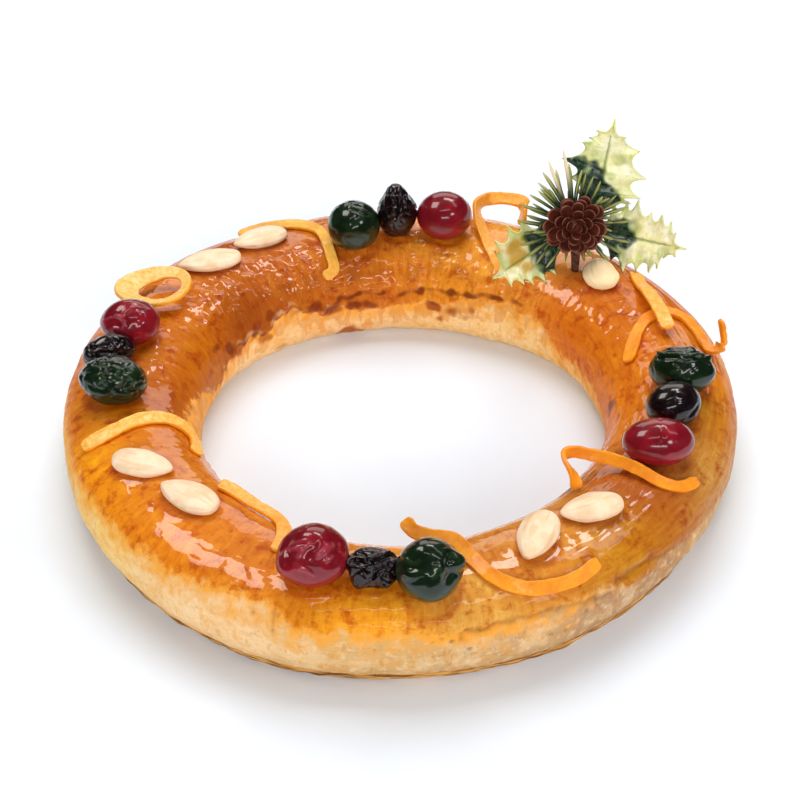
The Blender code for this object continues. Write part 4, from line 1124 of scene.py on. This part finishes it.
# Width, how far the pith shows, tone, then bearing, across, height and lean along the strip's route.
# Height None lies on the pastry. Lean 0 lies flat, and lean 90 stands on its edge.
peels = {
    "peel_arch": {"width": 4.2, "pith": 0.35, "tone": "yellow", "route": [
    (122.8, 15.8, None, 25), (117.4, 14.8, None, 35), (112.2, 11.6, None, 30), (108.3, 5.0, None, 10),
    (107.4, -3.0, None, 0), (107.6, -11.1, None, 0), (108.0, -15.9, None, 0), (111.2, -17.4, None, 0)]},
    "peel_left": {"width": 5.2, "pith": 1.0, "tone": "orange", "route": [
    (-163.5, 17.6, None, 15), (-164.1, 8.8, None, 18), (-166.2, -2.0, None, 18),
    (-167.0, -10.6, None, 12), (-166.0, -16.4, None, 6), (-163.0, -18.8, None, 0),
    (-158.6, -18.2, None, 0), (-154.8, -16.4, None, 0)]},
    "peel_inner": {"width": 5.0, "pith": 0.7, "tone": "orange", "route": [
    (-138.8, -13.4, None, 25), (-134.6, -15.6, None, 30), (-128.4, -16.4, None, 30),
    (-122.0, -16.4, None, 30), (-117.8, -13.0, None, 10), (-115.4, -8.0, None, 0),
    (-114.4, -2.4, None, 0), (-114.2, 0.8, None, 0)]},
    "peel_front": {"width": 4.8, "pith": 0.15, "tone": "orange", "route": [
    (-89.2, -12.3, 43.0, 50), (-87.3, -9.9, 40.0, 40), (-84.0, -8.6, 38.4, 30), (-79.0, -6.6, 36.8, 20),
    (-76.6, 0.5, None, 15), (-74.6, 8.9, None, 20), (-72.1, 13.9, None, 25), (-68.7, 17.0, None, 25),
    (-64.6, 18.2, None, 25), (-60.3, 18.4, None, 20), (-55.8, 17.2, None, 10)]},
    "peel_folded": {"width": 4.2, "pith": 0.1, "tone": "orange", "route": [
    (-44.8, -11.5, None, 10), (-44.0, -15.0, 36.0, 40), (-42.4, -20.4, 37.6, 70),
    (-40.6, -22.6, 38.2, 80), (-38.0, -20.6, 38.0, 70), (-35.8, -16.2, 36.8, 60),
    (-34.4, -10.4, 36.6, 60), (-33.9, -3.6, 36.6, 60), (-33.9, 2.6, 36.2, 50), (-33.6, 9.8, None, 30),
    (-31.6, 15.4, None, 10), (-27.8, 18.0, None, 0)]},
    "peel_straight": {"width": 5.2, "pith": 0.75, "tone": "orange", "route": [
    (36.0, 13.4, None, 0), (31.6, 9.4, None, 0), (26.6, 6.0, 37.6, 0), (20.4, 4.4, 38.4, 0),
    (13.6, 3.6, 37.0, 0)]},
    "peel_hooked": {"width": 4.8, "pith": 0.1, "tone": "orange", "route": [
    (8.2, -13.5, None, 0), (12.2, -10.6, None, 0), (16.6, -6.4, None, 0), (20.4, 0.4, None, 0),
    (21.4, 8.0, None, 0), (19.2, 13.8, None, 0), (15.0, 15.4, None, 0), (10.6, 15.8, None, 0),
    (8.0, 18.0, 33.2, 5), (8.0, 21.4, 35.8, 10), (9.3, 21.4, 39.8, 10), (9.8, 20.8, 43.4, 10)]},
    "peel_standing": {"width": 5.2, "pith": 0.6, "tone": "orange", "route": [
    (58.9, -15.9, None, 0), (61.6, -12.4, None, 0), (66.4, -5.9, None, 10), (71.0, 4.6, None, 35),
    (73.2, 13.0, 37.8, 65), (72.6, 18.2, 38.2, 85), (70.2, 20.8, 38.4, 90), (67.4, 22.0, 38.4, 90),
    (65.0, 21.6, 38.2, 80), (64.0, 18.0, 37.2, 70), (63.4, 12.4, None, 50)]},
}
peelForm = {"thickness": 1.8, "sides": 28, "steps": 14}
# The closed loop: middle, half length and half width, band (mean and change), and angles in degrees.
peelLoop = {"middle": (-89.6, 52.2, 37.9), "half": (11.4, 9.1), "band": (6.6, 2.9), "thickness": 1.9,
            "flare": 66, "tilt": 3, "turn": 16, "steps": 150}


# Rounded sections along a path: a skin side, a spongy pith side and uneven cut edges.
def stripMesh(path, face, width, thickness, shift, isClosed=False):
    along = np.roll(path, -1, 0) - np.roll(path, 1, 0) if isClosed else np.gradient(path, axis=0)
    along = unit(along)
    face = unit(face - along * (face * along).sum(-1, keepdims=True))
    beside = np.cross(along, face)
    turn = fullTurn(peelForm["sides"])[None, :]
    b, f = squared(np.cos(turn), 0.42), squared(np.sin(turn), 0.42)
    uneven = 1 + 0.13 * ripple(path, 9, shift) + 0.06 * ripple(path, 3, shift + 1)
    thick = 1 + 0.18 * ripple(path, 6, shift + 2)
    wide = 0.5 * (width * uneven)[:, None] * b
    tall = 0.5 * (thickness * thick)[:, None] * f + 0.35 * (b ** 2 - 0.4)
    grid = path[:, None] + beside[:, None] * wide[..., None] + face[:, None] * tall[..., None]
    pith = smoothStep(-0.3, 0.6, f)
    rough = ripple(grid, 1.5, shift + 3) * 0.17 + ripple(grid, 0.8, shift + 4) * 0.07
    grid = grid + face[:, None] * (rough * pith)[..., None]
    return clearOfPastry(grid, 0.0), {"pith": pith, "edge": np.abs(b) ** 6}


def peelMesh(index, peel):
    width, thickness, steps = peel["width"], peelForm["thickness"], peelForm["steps"]
    middles, faces = [], []
    for bearing, across, height, lean in peel["route"]:
        bearing = math.radians(bearing)
        if height is None:
            stand = 0.5 * (thickness + (width - thickness) * math.sin(math.radians(lean)))
            middles.append(onPastry(bearing, across, stand + 0.2))
            faces.append(backNormal(bearing, across))
        else:
            outward = 0.02 if across > 19 else 0
            middles.append(tubePoint(bearing, across, height))
            faces.append(unit(np.array([0, 0, 1]) + tubePoint(bearing, 0, 0) * outward))
    path, face = smoothRun(middles, steps), smoothRun(faces, steps)
    lean = np.radians(smoothRun([[place[3]] for place in peel["route"]], steps)[:, 0])
    face = turnAbout(np.gradient(path, axis=0), lean, unit(face))
    run = np.arange(len(path)) / (len(path) - 1)
    taper = np.clip(np.minimum(run, 1 - run) / 0.03, 0, 1) ** 0.5 * 0.45 + 0.55
    grid, marks = stripMesh(path, face, width * taper, thickness * taper, 70 + 5 * index)
    return clearOfPastry(grid, 0.0), marks


peelTones = {
    "orange": {"skin": "f6960c", "deep": "e87e06", "pith": "f6c468", "fibre": "f0a436"},
    "yellow": {"skin": "f6ae20", "deep": "e2900c", "pith": "f8d088", "fibre": "f2b450"},
}


def peelMaterial(tone, pithShare):
    # Candied orange peel, cut in strips: waxy pored skin on one side, paler spongy pith on the other.
    tones = peelTones[tone]
    return makeMaterial(f"candied {tone} peel, {round(100 * pithShare)} parts pith", {
        "noises": {"pore": (1.0, 2, 0.5), "cloud": (5, 3, 0.5), "fibre": (1.6, 5, 0.65)},
        "marks": ("pith", "edge"),
        "nodes": {
            "torn": ("MapRange", {}, ranged("cloud", 0.25, 0.6, 0.6, 1.0)),
            "share": ("Math", {"operation": "MULTIPLY"}, {0: "pith", 1: "torn"}),
            "grain": ("Mix", {"data_type": "FLOAT"}, {0: "pith", 2: "pore", 3: "fibre"})},
        "blends": {
            "sponge": (tones["fibre"], [
                ("fibre", 0.35, 0.65, 1.0, tones["pith"]), ("pore", 0.56, 0.72, 0.5, tones["deep"])]),
            "skin": (tones["skin"], [
                ("cloud", 0.35, 0.70, 1.0, tones["deep"]), ("pore", 0.55, 0.70, 0.35, tones["deep"]),
                ("share", 0, 1, pithShare, "sponge"), ("edge", 0, 1, 0.35, tones["skin"])])},
        "rough": ("cloud", 0.3, 0.7, 0.36, 0.52), "bump": ("grain", 0.6, 0.35),
        "settings": {
            "IOR": 1.45, "Specular IOR Level": 0.25, "Coat Weight": 0.3, "Coat Roughness": 0.15}})


def makePeels():
    for index, (node, peel) in enumerate(peels.items()):
        material = peelMaterial(peel["tone"], peel["pith"])
        makePiece(node, [peelMesh(index, peel)], material)


def makePeelLoop():
    turn = fullTurn(peelLoop["steps"])
    a, b = peelLoop["half"]
    local = np.stack([np.cos(turn) * a, np.sin(turn) * b, 0 * turn], -1)
    out = unit(np.stack([np.cos(turn) * b, np.sin(turn) * a, 0 * turn], -1))
    flare = np.full(len(turn), math.radians(peelLoop["flare"]))
    inward = turnAbout(np.cross([0, 0, 1], out), flare, -out)
    tilt = math.radians(-peelLoop["tilt"])
    c, s = math.cos(tilt), math.sin(tilt)
    tip = spinAbout(peelLoop["turn"]) @ np.array([[c, 0, s], [0, 1, 0], [-s, 0, c]])
    path = np.array(peelLoop["middle"]) + local @ tip.T
    path[:, 2] += 0.6 * np.sin(2 * turn + 1)
    band, spread = peelLoop["band"]
    thickness = np.full(len(turn), peelLoop["thickness"])
    strip = stripMesh(path, inward @ tip.T, band - spread * np.cos(turn), thickness, 120, isClosed=True)
    makePiece("peel_loop", [strip], peelMaterial("yellow", 0.9), wrapRows=True)


makePeels()
makePeelLoop()
print("peel done")


pick = {
    "middle": (67.0, 71.0, 50.2), "faceElevation": 28, "coneRadius": 11.4,
    "stemFoot": (67.0, 65.6, 33.9), "stemRadii": (1.3, 1.9), "stemRidges": 0.22,
}
elevation = math.radians(pick["faceElevation"])
fanSide = np.array([1.0, 0.0, 0.0])
fanFront = np.array([0.0, -math.cos(elevation), math.sin(elevation)])
fanRise = np.cross(fanFront, fanSide)


# A point in the pick's own plane: to the right, up, and out to the front.
def fanPoint(side, rise, front):
    spot = np.stack(np.broadcast_arrays(side, rise, front), -1)
    side, rise, front = spot[..., :1], spot[..., 1:2], spot[..., 2:]
    return np.array(pick["middle"]) + fanSide * side + fanRise * rise + fanFront * front


# A turned core, as levels to the front and the radius at each.
def corePoints(levels, radii):
    turn, radius = fullTurn(20)[None, :], np.array(radii)[:, None]
    return fanPoint(radius * np.cos(turn), radius * np.sin(turn), np.array(levels)[:, None])


# Tiers of scales from the back to the middle: how many, tip radius, root radius, front of the tip
# and of the root, width.
coneTiers = [
    (10, 11.6, 3.5, -3.2, -6.0, 5.5), (9, 11.0, 3.3, 0.4, -3.8, 5.2), (8, 8.9, 2.8, 3.7, -1.2, 4.6),
    (6, 6.3, 2.0, 6.2, 1.4, 4.3), (4, 3.9, 0.9, 7.9, 3.4, 3.7), (2, 1.7, 0.1, 8.5, 5.4, 2.6)]
coneForm = {"stations": 13, "sides": 18, "rough": 0.16, "lift": 0.8}
coneCore = {"levels": (-7.0, -4.0, 0.0, 3.5, 6.0, 7.0), "radii": (2.6, 5.0, 4.6, 3.4, 1.9, 0.5)}
# The cone's dry woody scales, each with a paler worn rim.
coneLooks = {
    "noises": {"fibre": (0.9, 4, 0.6), "cloud": (3, 3, 0.5)}, "marks": ("lip",),
    "blends": {"wood": ("4a1e12", [
        ("cloud", 0.35, 0.70, 1.0, "60291a"), ("fibre", 0.50, 0.75, 0.5, "230a07"),
        ("lip", 0, 1, 0.75, "a56c58")])},
    "bump": ("fibre", 0.5, 0.3), "settings": {"Roughness": 0.55, "Specular IOR Level": 0.3},
}
# Twig: dark bark with lengthways ridges.
twigLooks = {
    "noises": {"bark": (1.0, 4, 0.6)},
    "blends": {"bark": ("2c120c", [("bark", 0.35, 0.65, 1.0, "5a3222")])},
    "bump": ("bark", 0.5, 0.3), "settings": {"Roughness": 0.6},
}


# One scale of the cone: thin at the root, with a thick rounded lip.
def coneScale(tier, i):
    count, tip, root, tipFront, rootFront, width = coneTiers[tier]
    turn = fullTurn(coneForm["sides"])[None, :]
    s = np.sin(0.5 * math.pi * np.linspace(0, 1, coneForm["stations"]))[:, None]
    spin = math.tau * (i + 0.5 * (tier % 2) + 0.17 * math.sin(5.1 * i + tier)) / count + 0.3 * tier
    reach = tip * (1 + 0.07 * math.sin(7.7 * i + 3 * tier))
    lift = coneForm["lift"] * math.sin(3.3 * i + 2 * tier)
    half = 0.5 * width * (0.45 + 0.55 * smoothStep(0.0, 0.6, s))
    half = half * np.sqrt(np.clip(1 - (np.maximum(s - 0.66, 0) / 0.345) ** 2.6, 0.02, 1))
    a, t = squared(np.cos(turn), 0.8), squared(np.sin(turn), 0.8)
    thick = 0.42 + 0.75 * smoothStep(0.45, 0.95, s)
    across = half * a
    radius = root + (reach - root) * s - 0.10 * across ** 2 * s
    front = rootFront + (tipFront - rootFront) * s ** 1.3 + 0.5 * thick * t
    front = front + 0.07 * across ** 2 * (1 - 0.5 * s) + 0.35 * smoothStep(0.75, 1.0, s) + lift * s
    side = radius * math.cos(spin) - across * math.sin(spin)
    rise = radius * math.sin(spin) + across * math.cos(spin)
    grid = fanPoint(side, rise, front)
    grid = grid + coneForm["rough"] * ripple(grid, 1.6, 130)[..., None] * fanFront
    lip = smoothStep(0.84, 0.98, s) * (0.6 + 0.4 * np.abs(a))
    lip = lip + 0.7 * smoothStep(0.8, 1.0, np.abs(a)) * smoothStep(0.3, 0.6, s)
    return grid, {"lip": np.clip(lip, 0, 1)}


def makeCone():
    grids = [coneScale(tier, i) for tier, (count, *_) in enumerate(coneTiers) for i in range(count)]
    grids.append((corePoints(coneCore["levels"], coneCore["radii"]), {"lip": 0}))
    makePiece("pine_cone", grids, makeMaterial("dried pine cone", coneLooks))


def makeStem():
    top = fanPoint(0.0, -pick["coneRadius"], -1.2) + np.array([0, 0, 2.0])
    foot = np.array(pick["stemFoot"])
    s = np.linspace(0, 1, 26)[:, None, None]
    turn = fullTurn(24)[None, :, None]
    start, end = pick["stemRadii"]
    out = np.concatenate([np.cos(turn), np.sin(turn), 0 * turn], -1)
    grid = foot + (top - foot) * s + out * (start + (end - start) * s)
    grid = grid + out * (pick["stemRidges"] * ripple(grid * [1, 1, 0.4], 1.4, 140))[..., None]
    makePiece("cone_stem", [(clearOfPastry(grid, -0.2), {})], makeMaterial("twig", twigLooks))


# Tips of the long needles in the fan's plane, and how pale each is. The rest fill the gaps.
longNeedles = [
    (-9.9, 24.3, 1.0), (-4.4, 28.5, 1.0), (-13.6, 16.0, 0.5), (-16.8, 11.5, 0.4), (-20.5, 8.0, 0.35),
    (-21.5, 2.0, 0.3), (-21.9, -3.2, 0.3), (-20.5, -7.5, 0.3), (-17.7, -11.5, 0.3), (-14.5, -14.5, 0.4),
    (-10.8, -16.0, 0.45), (-7.0, 21.0, 0.5), (-2.0, 23.0, 0.4), (15.8, 11.0, 0.35), (19.9, 6.4, 0.3),
    (21.3, 0.9, 0.3), (21.3, -7.3, 0.25), (13.5, -15.2, 0.3), (7.5, -12.9, 0.3), (3.0, 20.5, 0.3),
    (-12.0, 20.0, 0.5), (18.0, -11.5, 0.3)]
# The needles that fill the gaps, with how far they reach and how pale they are. For every needle:
# how far from the middle and to the front it starts, its width, its sag and how much it catches light.
needles = {
    "fillers": 36, "reach": (14.5, 20.5), "pale": (0.05, 0.3), "root": 4.0, "front": -8.4,
    "width": (1.1, 1.6), "sag": (-0.9, 0.9), "sheen": (0.45, 1.1), "stations": 10, "sides": 8,
    "core": {"levels": (-11.5, -10.5, -8.0, -6.5), "radii": (1.5, 4.0, 4.6, 3.0)},
}
# Moulded plastic needles: dark green at the root, yellow-green along the blade, cream at the tip.
# The lighter green down the middle of each blade's faces is a painted sheen, stronger on the
# needles that catch more light.
needleLooks = {
    "noises": {"streak": (1.2, 3, 0.5)}, "marks": ("run", "light", "blade"),
    "nodes": {"along": ("Math", {"operation": "MULTIPLY"}, {0: "run", 1: "blade"}),
              "tip": ("Math", {"operation": "MULTIPLY"}, {0: "run", 1: "light"})},
    "blends": {"green": ("18281a", [
        ("streak", 0.35, 0.65, 1.0, "34482a"), ("along", 0.18, 0.6, 0.95, "a0a656"),
        ("run", 0.55, 1.0, 0.6, "a8aa66"), ("tip", 0.25, 0.8, 1.0, "eedcb4")])},
    "bump": ("streak", 0.2, 0.2),
    "settings": {"Roughness": 0.38, "IOR": 1.5, "Specular IOR Level": 0.3},
}


def needleMesh(side, rise, pale):
    turn, s = fullTurn(needles["sides"])[None, :], np.linspace(0, 1, needles["stations"])[:, None]
    reach = math.hypot(side, rise)
    across = unit(np.cross([side, rise, 0], [0, 0, 1]))[:2]
    start = needles["root"] / reach
    share = start + (1 - start) * s
    sag = rng.uniform(*needles["sag"]) * np.sin(math.pi * s)
    front = needles["front"] + rng.uniform(-1.5, 1.2) + rng.uniform(0.0, 0.22) * reach * s
    half = 0.5 * rng.uniform(*needles["width"]) * (1 - 0.75 * smoothStep(0.8, 1.0, s) ** 1.5)
    half = half * (0.75 + 0.25 * smoothStep(0, 0.4, s))
    sheen = rng.uniform(*needles["sheen"])
    a, t = np.cos(turn), np.sin(turn)
    x, y = (way * share + beside * (half * a + sag) for way, beside in zip((side, rise), across))
    grid = forwardOfPastry(fanPoint(x, y, front + 0.28 * half * t), 0.3)
    # The last mark is a painted sheen down the middle of each face of the blade.
    return grid, {"run": s, "light": pale, "blade": (1 - np.abs(a)) * sheen}


def makeNeedles():
    tips, fillers = list(longNeedles), needles["fillers"]
    for i in range(fillers):
        angle = math.tau * i / fillers + rng.uniform(-0.09, 0.09)
        reach = rng.uniform(*needles["reach"]) * (1 + 0.25 * min(math.sin(angle), 0))
        tips.append((reach * math.cos(angle), reach * math.sin(angle), rng.uniform(*needles["pale"])))
    grids = [needleMesh(*place) for place in tips]
    # The small woody core that the needles grow from.
    grids.append((corePoints(**needles["core"]), {"run": 0, "light": 0, "blade": 0}))
    makePiece("needle_tuft", grids, makeMaterial("moulded plastic needles", needleLooks))


# How far behind the cone each leaf's root is and how far forward its tip comes, its midrib and its
# spines on the left and right in the fan's plane, and its patches of each colour (place, size).
leaves = {
    "leaf_top": {
        "behind": 10.6, "forward": -3.0,
        "rib": [(7.0, 5.0), (10.0, 14.5), (12.2, 23.8), (14.0, 31.8), (15.8, 39.1)],
        "left": [(0.6, 12.5), (-1.5, 18.0), (-4.3, 24.9), (3.4, 30.8), (5.9, 32.4), (8.6, 35.0)],
        "right": [(16.5, 5.5), (21.5, 7.4), (25.3, 9.3), (27.6, 16.8), (25.3, 26.9), (20.0, 32.0)],
        "darkPatches": [
            (6.5, 16.9, 6.0), (11.8, 10.8, 5.0), (1.1, 21.9, 4.5), (-2.9, 23.9, 3.2), (15.0, 8.8, 3.0),
            (5.0, 10.0, 6.0)],
        "greenPatches": [
            (8.6, 26.0, 4.0), (17.0, 24.0, 2.6), (5.0, 30.0, 3.0), (17.5, 9.5, 3.0), (14.0, 17.0, 2.5)],
        "goldPatches": []},
    "leaf_right": {
        "behind": 10.6, "forward": 2.0,
        "rib": [(10.0, -3.0), (18.0, -4.4), (27.0, -6.6), (35.5, -8.6), (42.6, -10.1)],
        "left": [
            (15.5, 6.5), (20.5, 8.5), (24.7, 9.3), (29.8, 4.2), (33.5, 3.4), (37.2, 0.6), (38.6, -3.6)],
        "right": [
            (14.0, -14.0), (18.0, -19.4), (23.5, -18.6), (28.2, -18.8), (31.4, -17.4), (34.2, -13.6),
            (38.2, -12.8)],
        "darkPatches": [
            (12.5, -3.0, 6.5), (18.5, -2.5, 4.4), (18.6, -6.4, 4.0), (14.5, -11.5, 4.6),
            (15.6, -16.0, 3.2), (11.0, -8.0, 4.0)],
        "greenPatches": [
            (18.0, -12.0, 4.0), (26.0, -14.5, 3.6), (20.5, 5.0, 3.2), (33.0, -11.5, 3.0),
            (23.0, -2.0, 3.0)],
        "goldPatches": []},
    "leaf_left": {
        "behind": 9.0, "forward": 5.0,
        "rib": [(-4.0, -4.0), (-10.5, -7.6), (-17.5, -11.6), (-24.5, -15.8), (-31.0, -19.7)],
        "left": [(-7.2, -19.3), (-10.8, -22.5), (-15.4, -23.0), (-19.1, -22.5), (-23.7, -23.0)],
        "right": [(-13.0, 0.5), (-20.5, 2.3), (-25.5, 0.0), (-30.1, -5.5), (-30.1, -9.5)],
        "darkPatches": [(-12.0, -8.0, 6.0), (-9.0, -13.5, 5.5), (-15.0, -5.5, 3.4), (-6.0, -10.0, 5.5)],
        "greenPatches": [
            (-21.0, -5.5, 4.5), (-14.0, -19.0, 4.5), (-27.0, -14.0, 4.0), (-18.5, 0.0, 3.0)],
        "goldPatches": [(-21.5, -10.5, 5.5), (-18.0, -16.0, 3.0)]},
}
# The thickness, how far the edge cups, its waves (height, how many), and the depth of the midrib's
# groove and of the side veins.
leafForm = {"thickness": 0.7, "cup": 1.6, "waves": (0.9, 4.5), "groove": 0.25, "veins": 0.16}
# Moulded plastic holly printed in greens: glossy dark patches on cream, with yellow-green between.
leafLooks = {
    "noises": {"cloud": (6, 3, 0.6), "streak": (1.6, 3, 0.5)},
    "marks": ("rim", "shade", "green", "warm"),
    "blends": {
        "dark": ("0f2216", [("streak", 0.35, 0.65, 1.0, "324a36")]),
        "printed": ("f8f4d6", [
            ("cloud", 0.35, 0.62, 0.8, "ebe69c"), ("streak", 0.48, 0.72, 0.5, "c6cf58"),
            ("rim", 0.70, 1.0, 0.45, "c4cc58"), ("green", 0.0, 1.0, 0.5, "9cab3e"),
            ("warm", 0.1, 1.0, 0.9, "c89a26"), ("rim", 0.12, 0.0, 0.7, "6f8640"),
            ("shade", 0.1, 0.55, 0.8, "5f7a38"), ("shade", 0.35, 0.85, 1.0, "dark")])},
    "rough": ("cloud", 0.3, 0.7, 0.22, 0.36), "bump": ("streak", 0.25, 0.2),
    "settings": {"IOR": 1.5, "Specular IOR Level": 0.3, "Coat Weight": 0.4, "Coat Roughness": 0.1},
}


# The outline from the root over the spines to the tip, hollowed between them.
def spinyEdge(rib, spines, steps):
    ribRun = smoothRun(rib, 8)
    tips = np.array([rib[0]] + list(spines) + [rib[-1]], float)
    near = np.array([ribRun[np.argmin(np.linalg.norm(ribRun - tip, axis=1))] for tip in tips])
    depth = np.array([0.0] + [0.34] * len(spines) + [0.0])[:, None]
    feet = tips + depth * (near - tips)
    feet[-1] = tips[-1] + 0.16 * (tips[0] - tips[-1])
    share = np.linspace(0, 1, 2 * steps)[1:, None]
    line = [tips[:1]]
    for start, end, foot, nextFoot in zip(tips, tips[1:], feet, feet[1:]):
        line.append(foot + (nextFoot - foot) * share + (start - foot) * (1 - share) ** 4.5
                    + (end - nextFoot) * share ** 4.5)
    return np.concatenate(line)


# Half of a leaf as a flat grid from the rib to the edge, with how far along and across it runs.
def leafHalf(leaf, side, steps=11, columns=15):
    edge = spinyEdge(leaf["rib"], leaf[side], steps)
    ribRun = smoothRun(leaf["rib"], 24)
    travel = np.concatenate([[0], np.cumsum(np.linalg.norm(np.diff(ribRun, axis=0), axis=1))])
    # Each edge point is joined to the rib a little further back, as the side veins run.
    start, end = np.array(leaf["rib"][0]), np.array(leaf["rib"][-1])
    advance = np.maximum.accumulate((edge - start) @ unit(end - start))
    advance = advance / advance[-1]
    root = np.clip(advance ** 1.12, 0, 1) * travel[-1]
    base = np.stack([np.interp(root, travel, ribRun[:, k]) for k in (0, 1)], -1)
    share = np.linspace(0, 1, columns)[None, :, None]
    flat = base[:, None] + (edge - base)[:, None] * share
    return flat, np.repeat(advance[:, None], columns, 1), np.repeat(share[..., 0], len(edge), 0)


def leafMesh(leaf, index, side):
    flat, run, rim = leafHalf(leaf, side)
    x, y = flat[..., 0], flat[..., 1]
    place = np.stack([x, y, 0 * x], -1)
    veins = np.abs((run * 5.5) % 1 - 0.5) * 2
    height, count = leafForm["waves"]
    cup = leafForm["cup"] * rim ** 2 + height * np.cos(run * math.tau * count) * rim ** 1.5
    cup += 0.6 * ripple(place, 9, 150 + index)
    front = -leaf["behind"] + leaf["forward"] * run ** 2 + cup
    front -= leafForm["groove"] * mound(rim, 0.07)
    front += leafForm["veins"] * mound(1 - veins, 0.22) * rim * (1 - rim) * 4
    marks, uneven = {"rim": rim}, 0.6 * ripple(place, 3.5, 160 + index)
    for mark, patches in (("shade", "darkPatches"), ("green", "greenPatches"), ("warm", "goldPatches")):
        marks[mark] = 0 * x
        for middleX, middleY, size in leaf[patches]:
            away = np.hypot(x - middleX, y - middleY) / size + uneven
            marks[mark] = np.maximum(marks[mark], smoothStep(1.5, 0.3, away))
    return forwardOfPastry(fanPoint(x, y, front), 0.5), marks


def makeLeaves():
    for index, (node, leaf) in enumerate(leaves.items()):
        halves = [leafMesh(leaf, index, side) for side in ("left", "right")]
        material = makeMaterial("moulded plastic holly", leafLooks)
        piece = makePiece(node, halves, material, wrapColumns=False)
        thicken = piece.modifiers.new("thickness", "SOLIDIFY")
        thicken.thickness = leafForm["thickness"] * mm
        thicken.offset = 0


makeCone()
makeStem()
makeNeedles()
makeLeaves()
print("pick done")
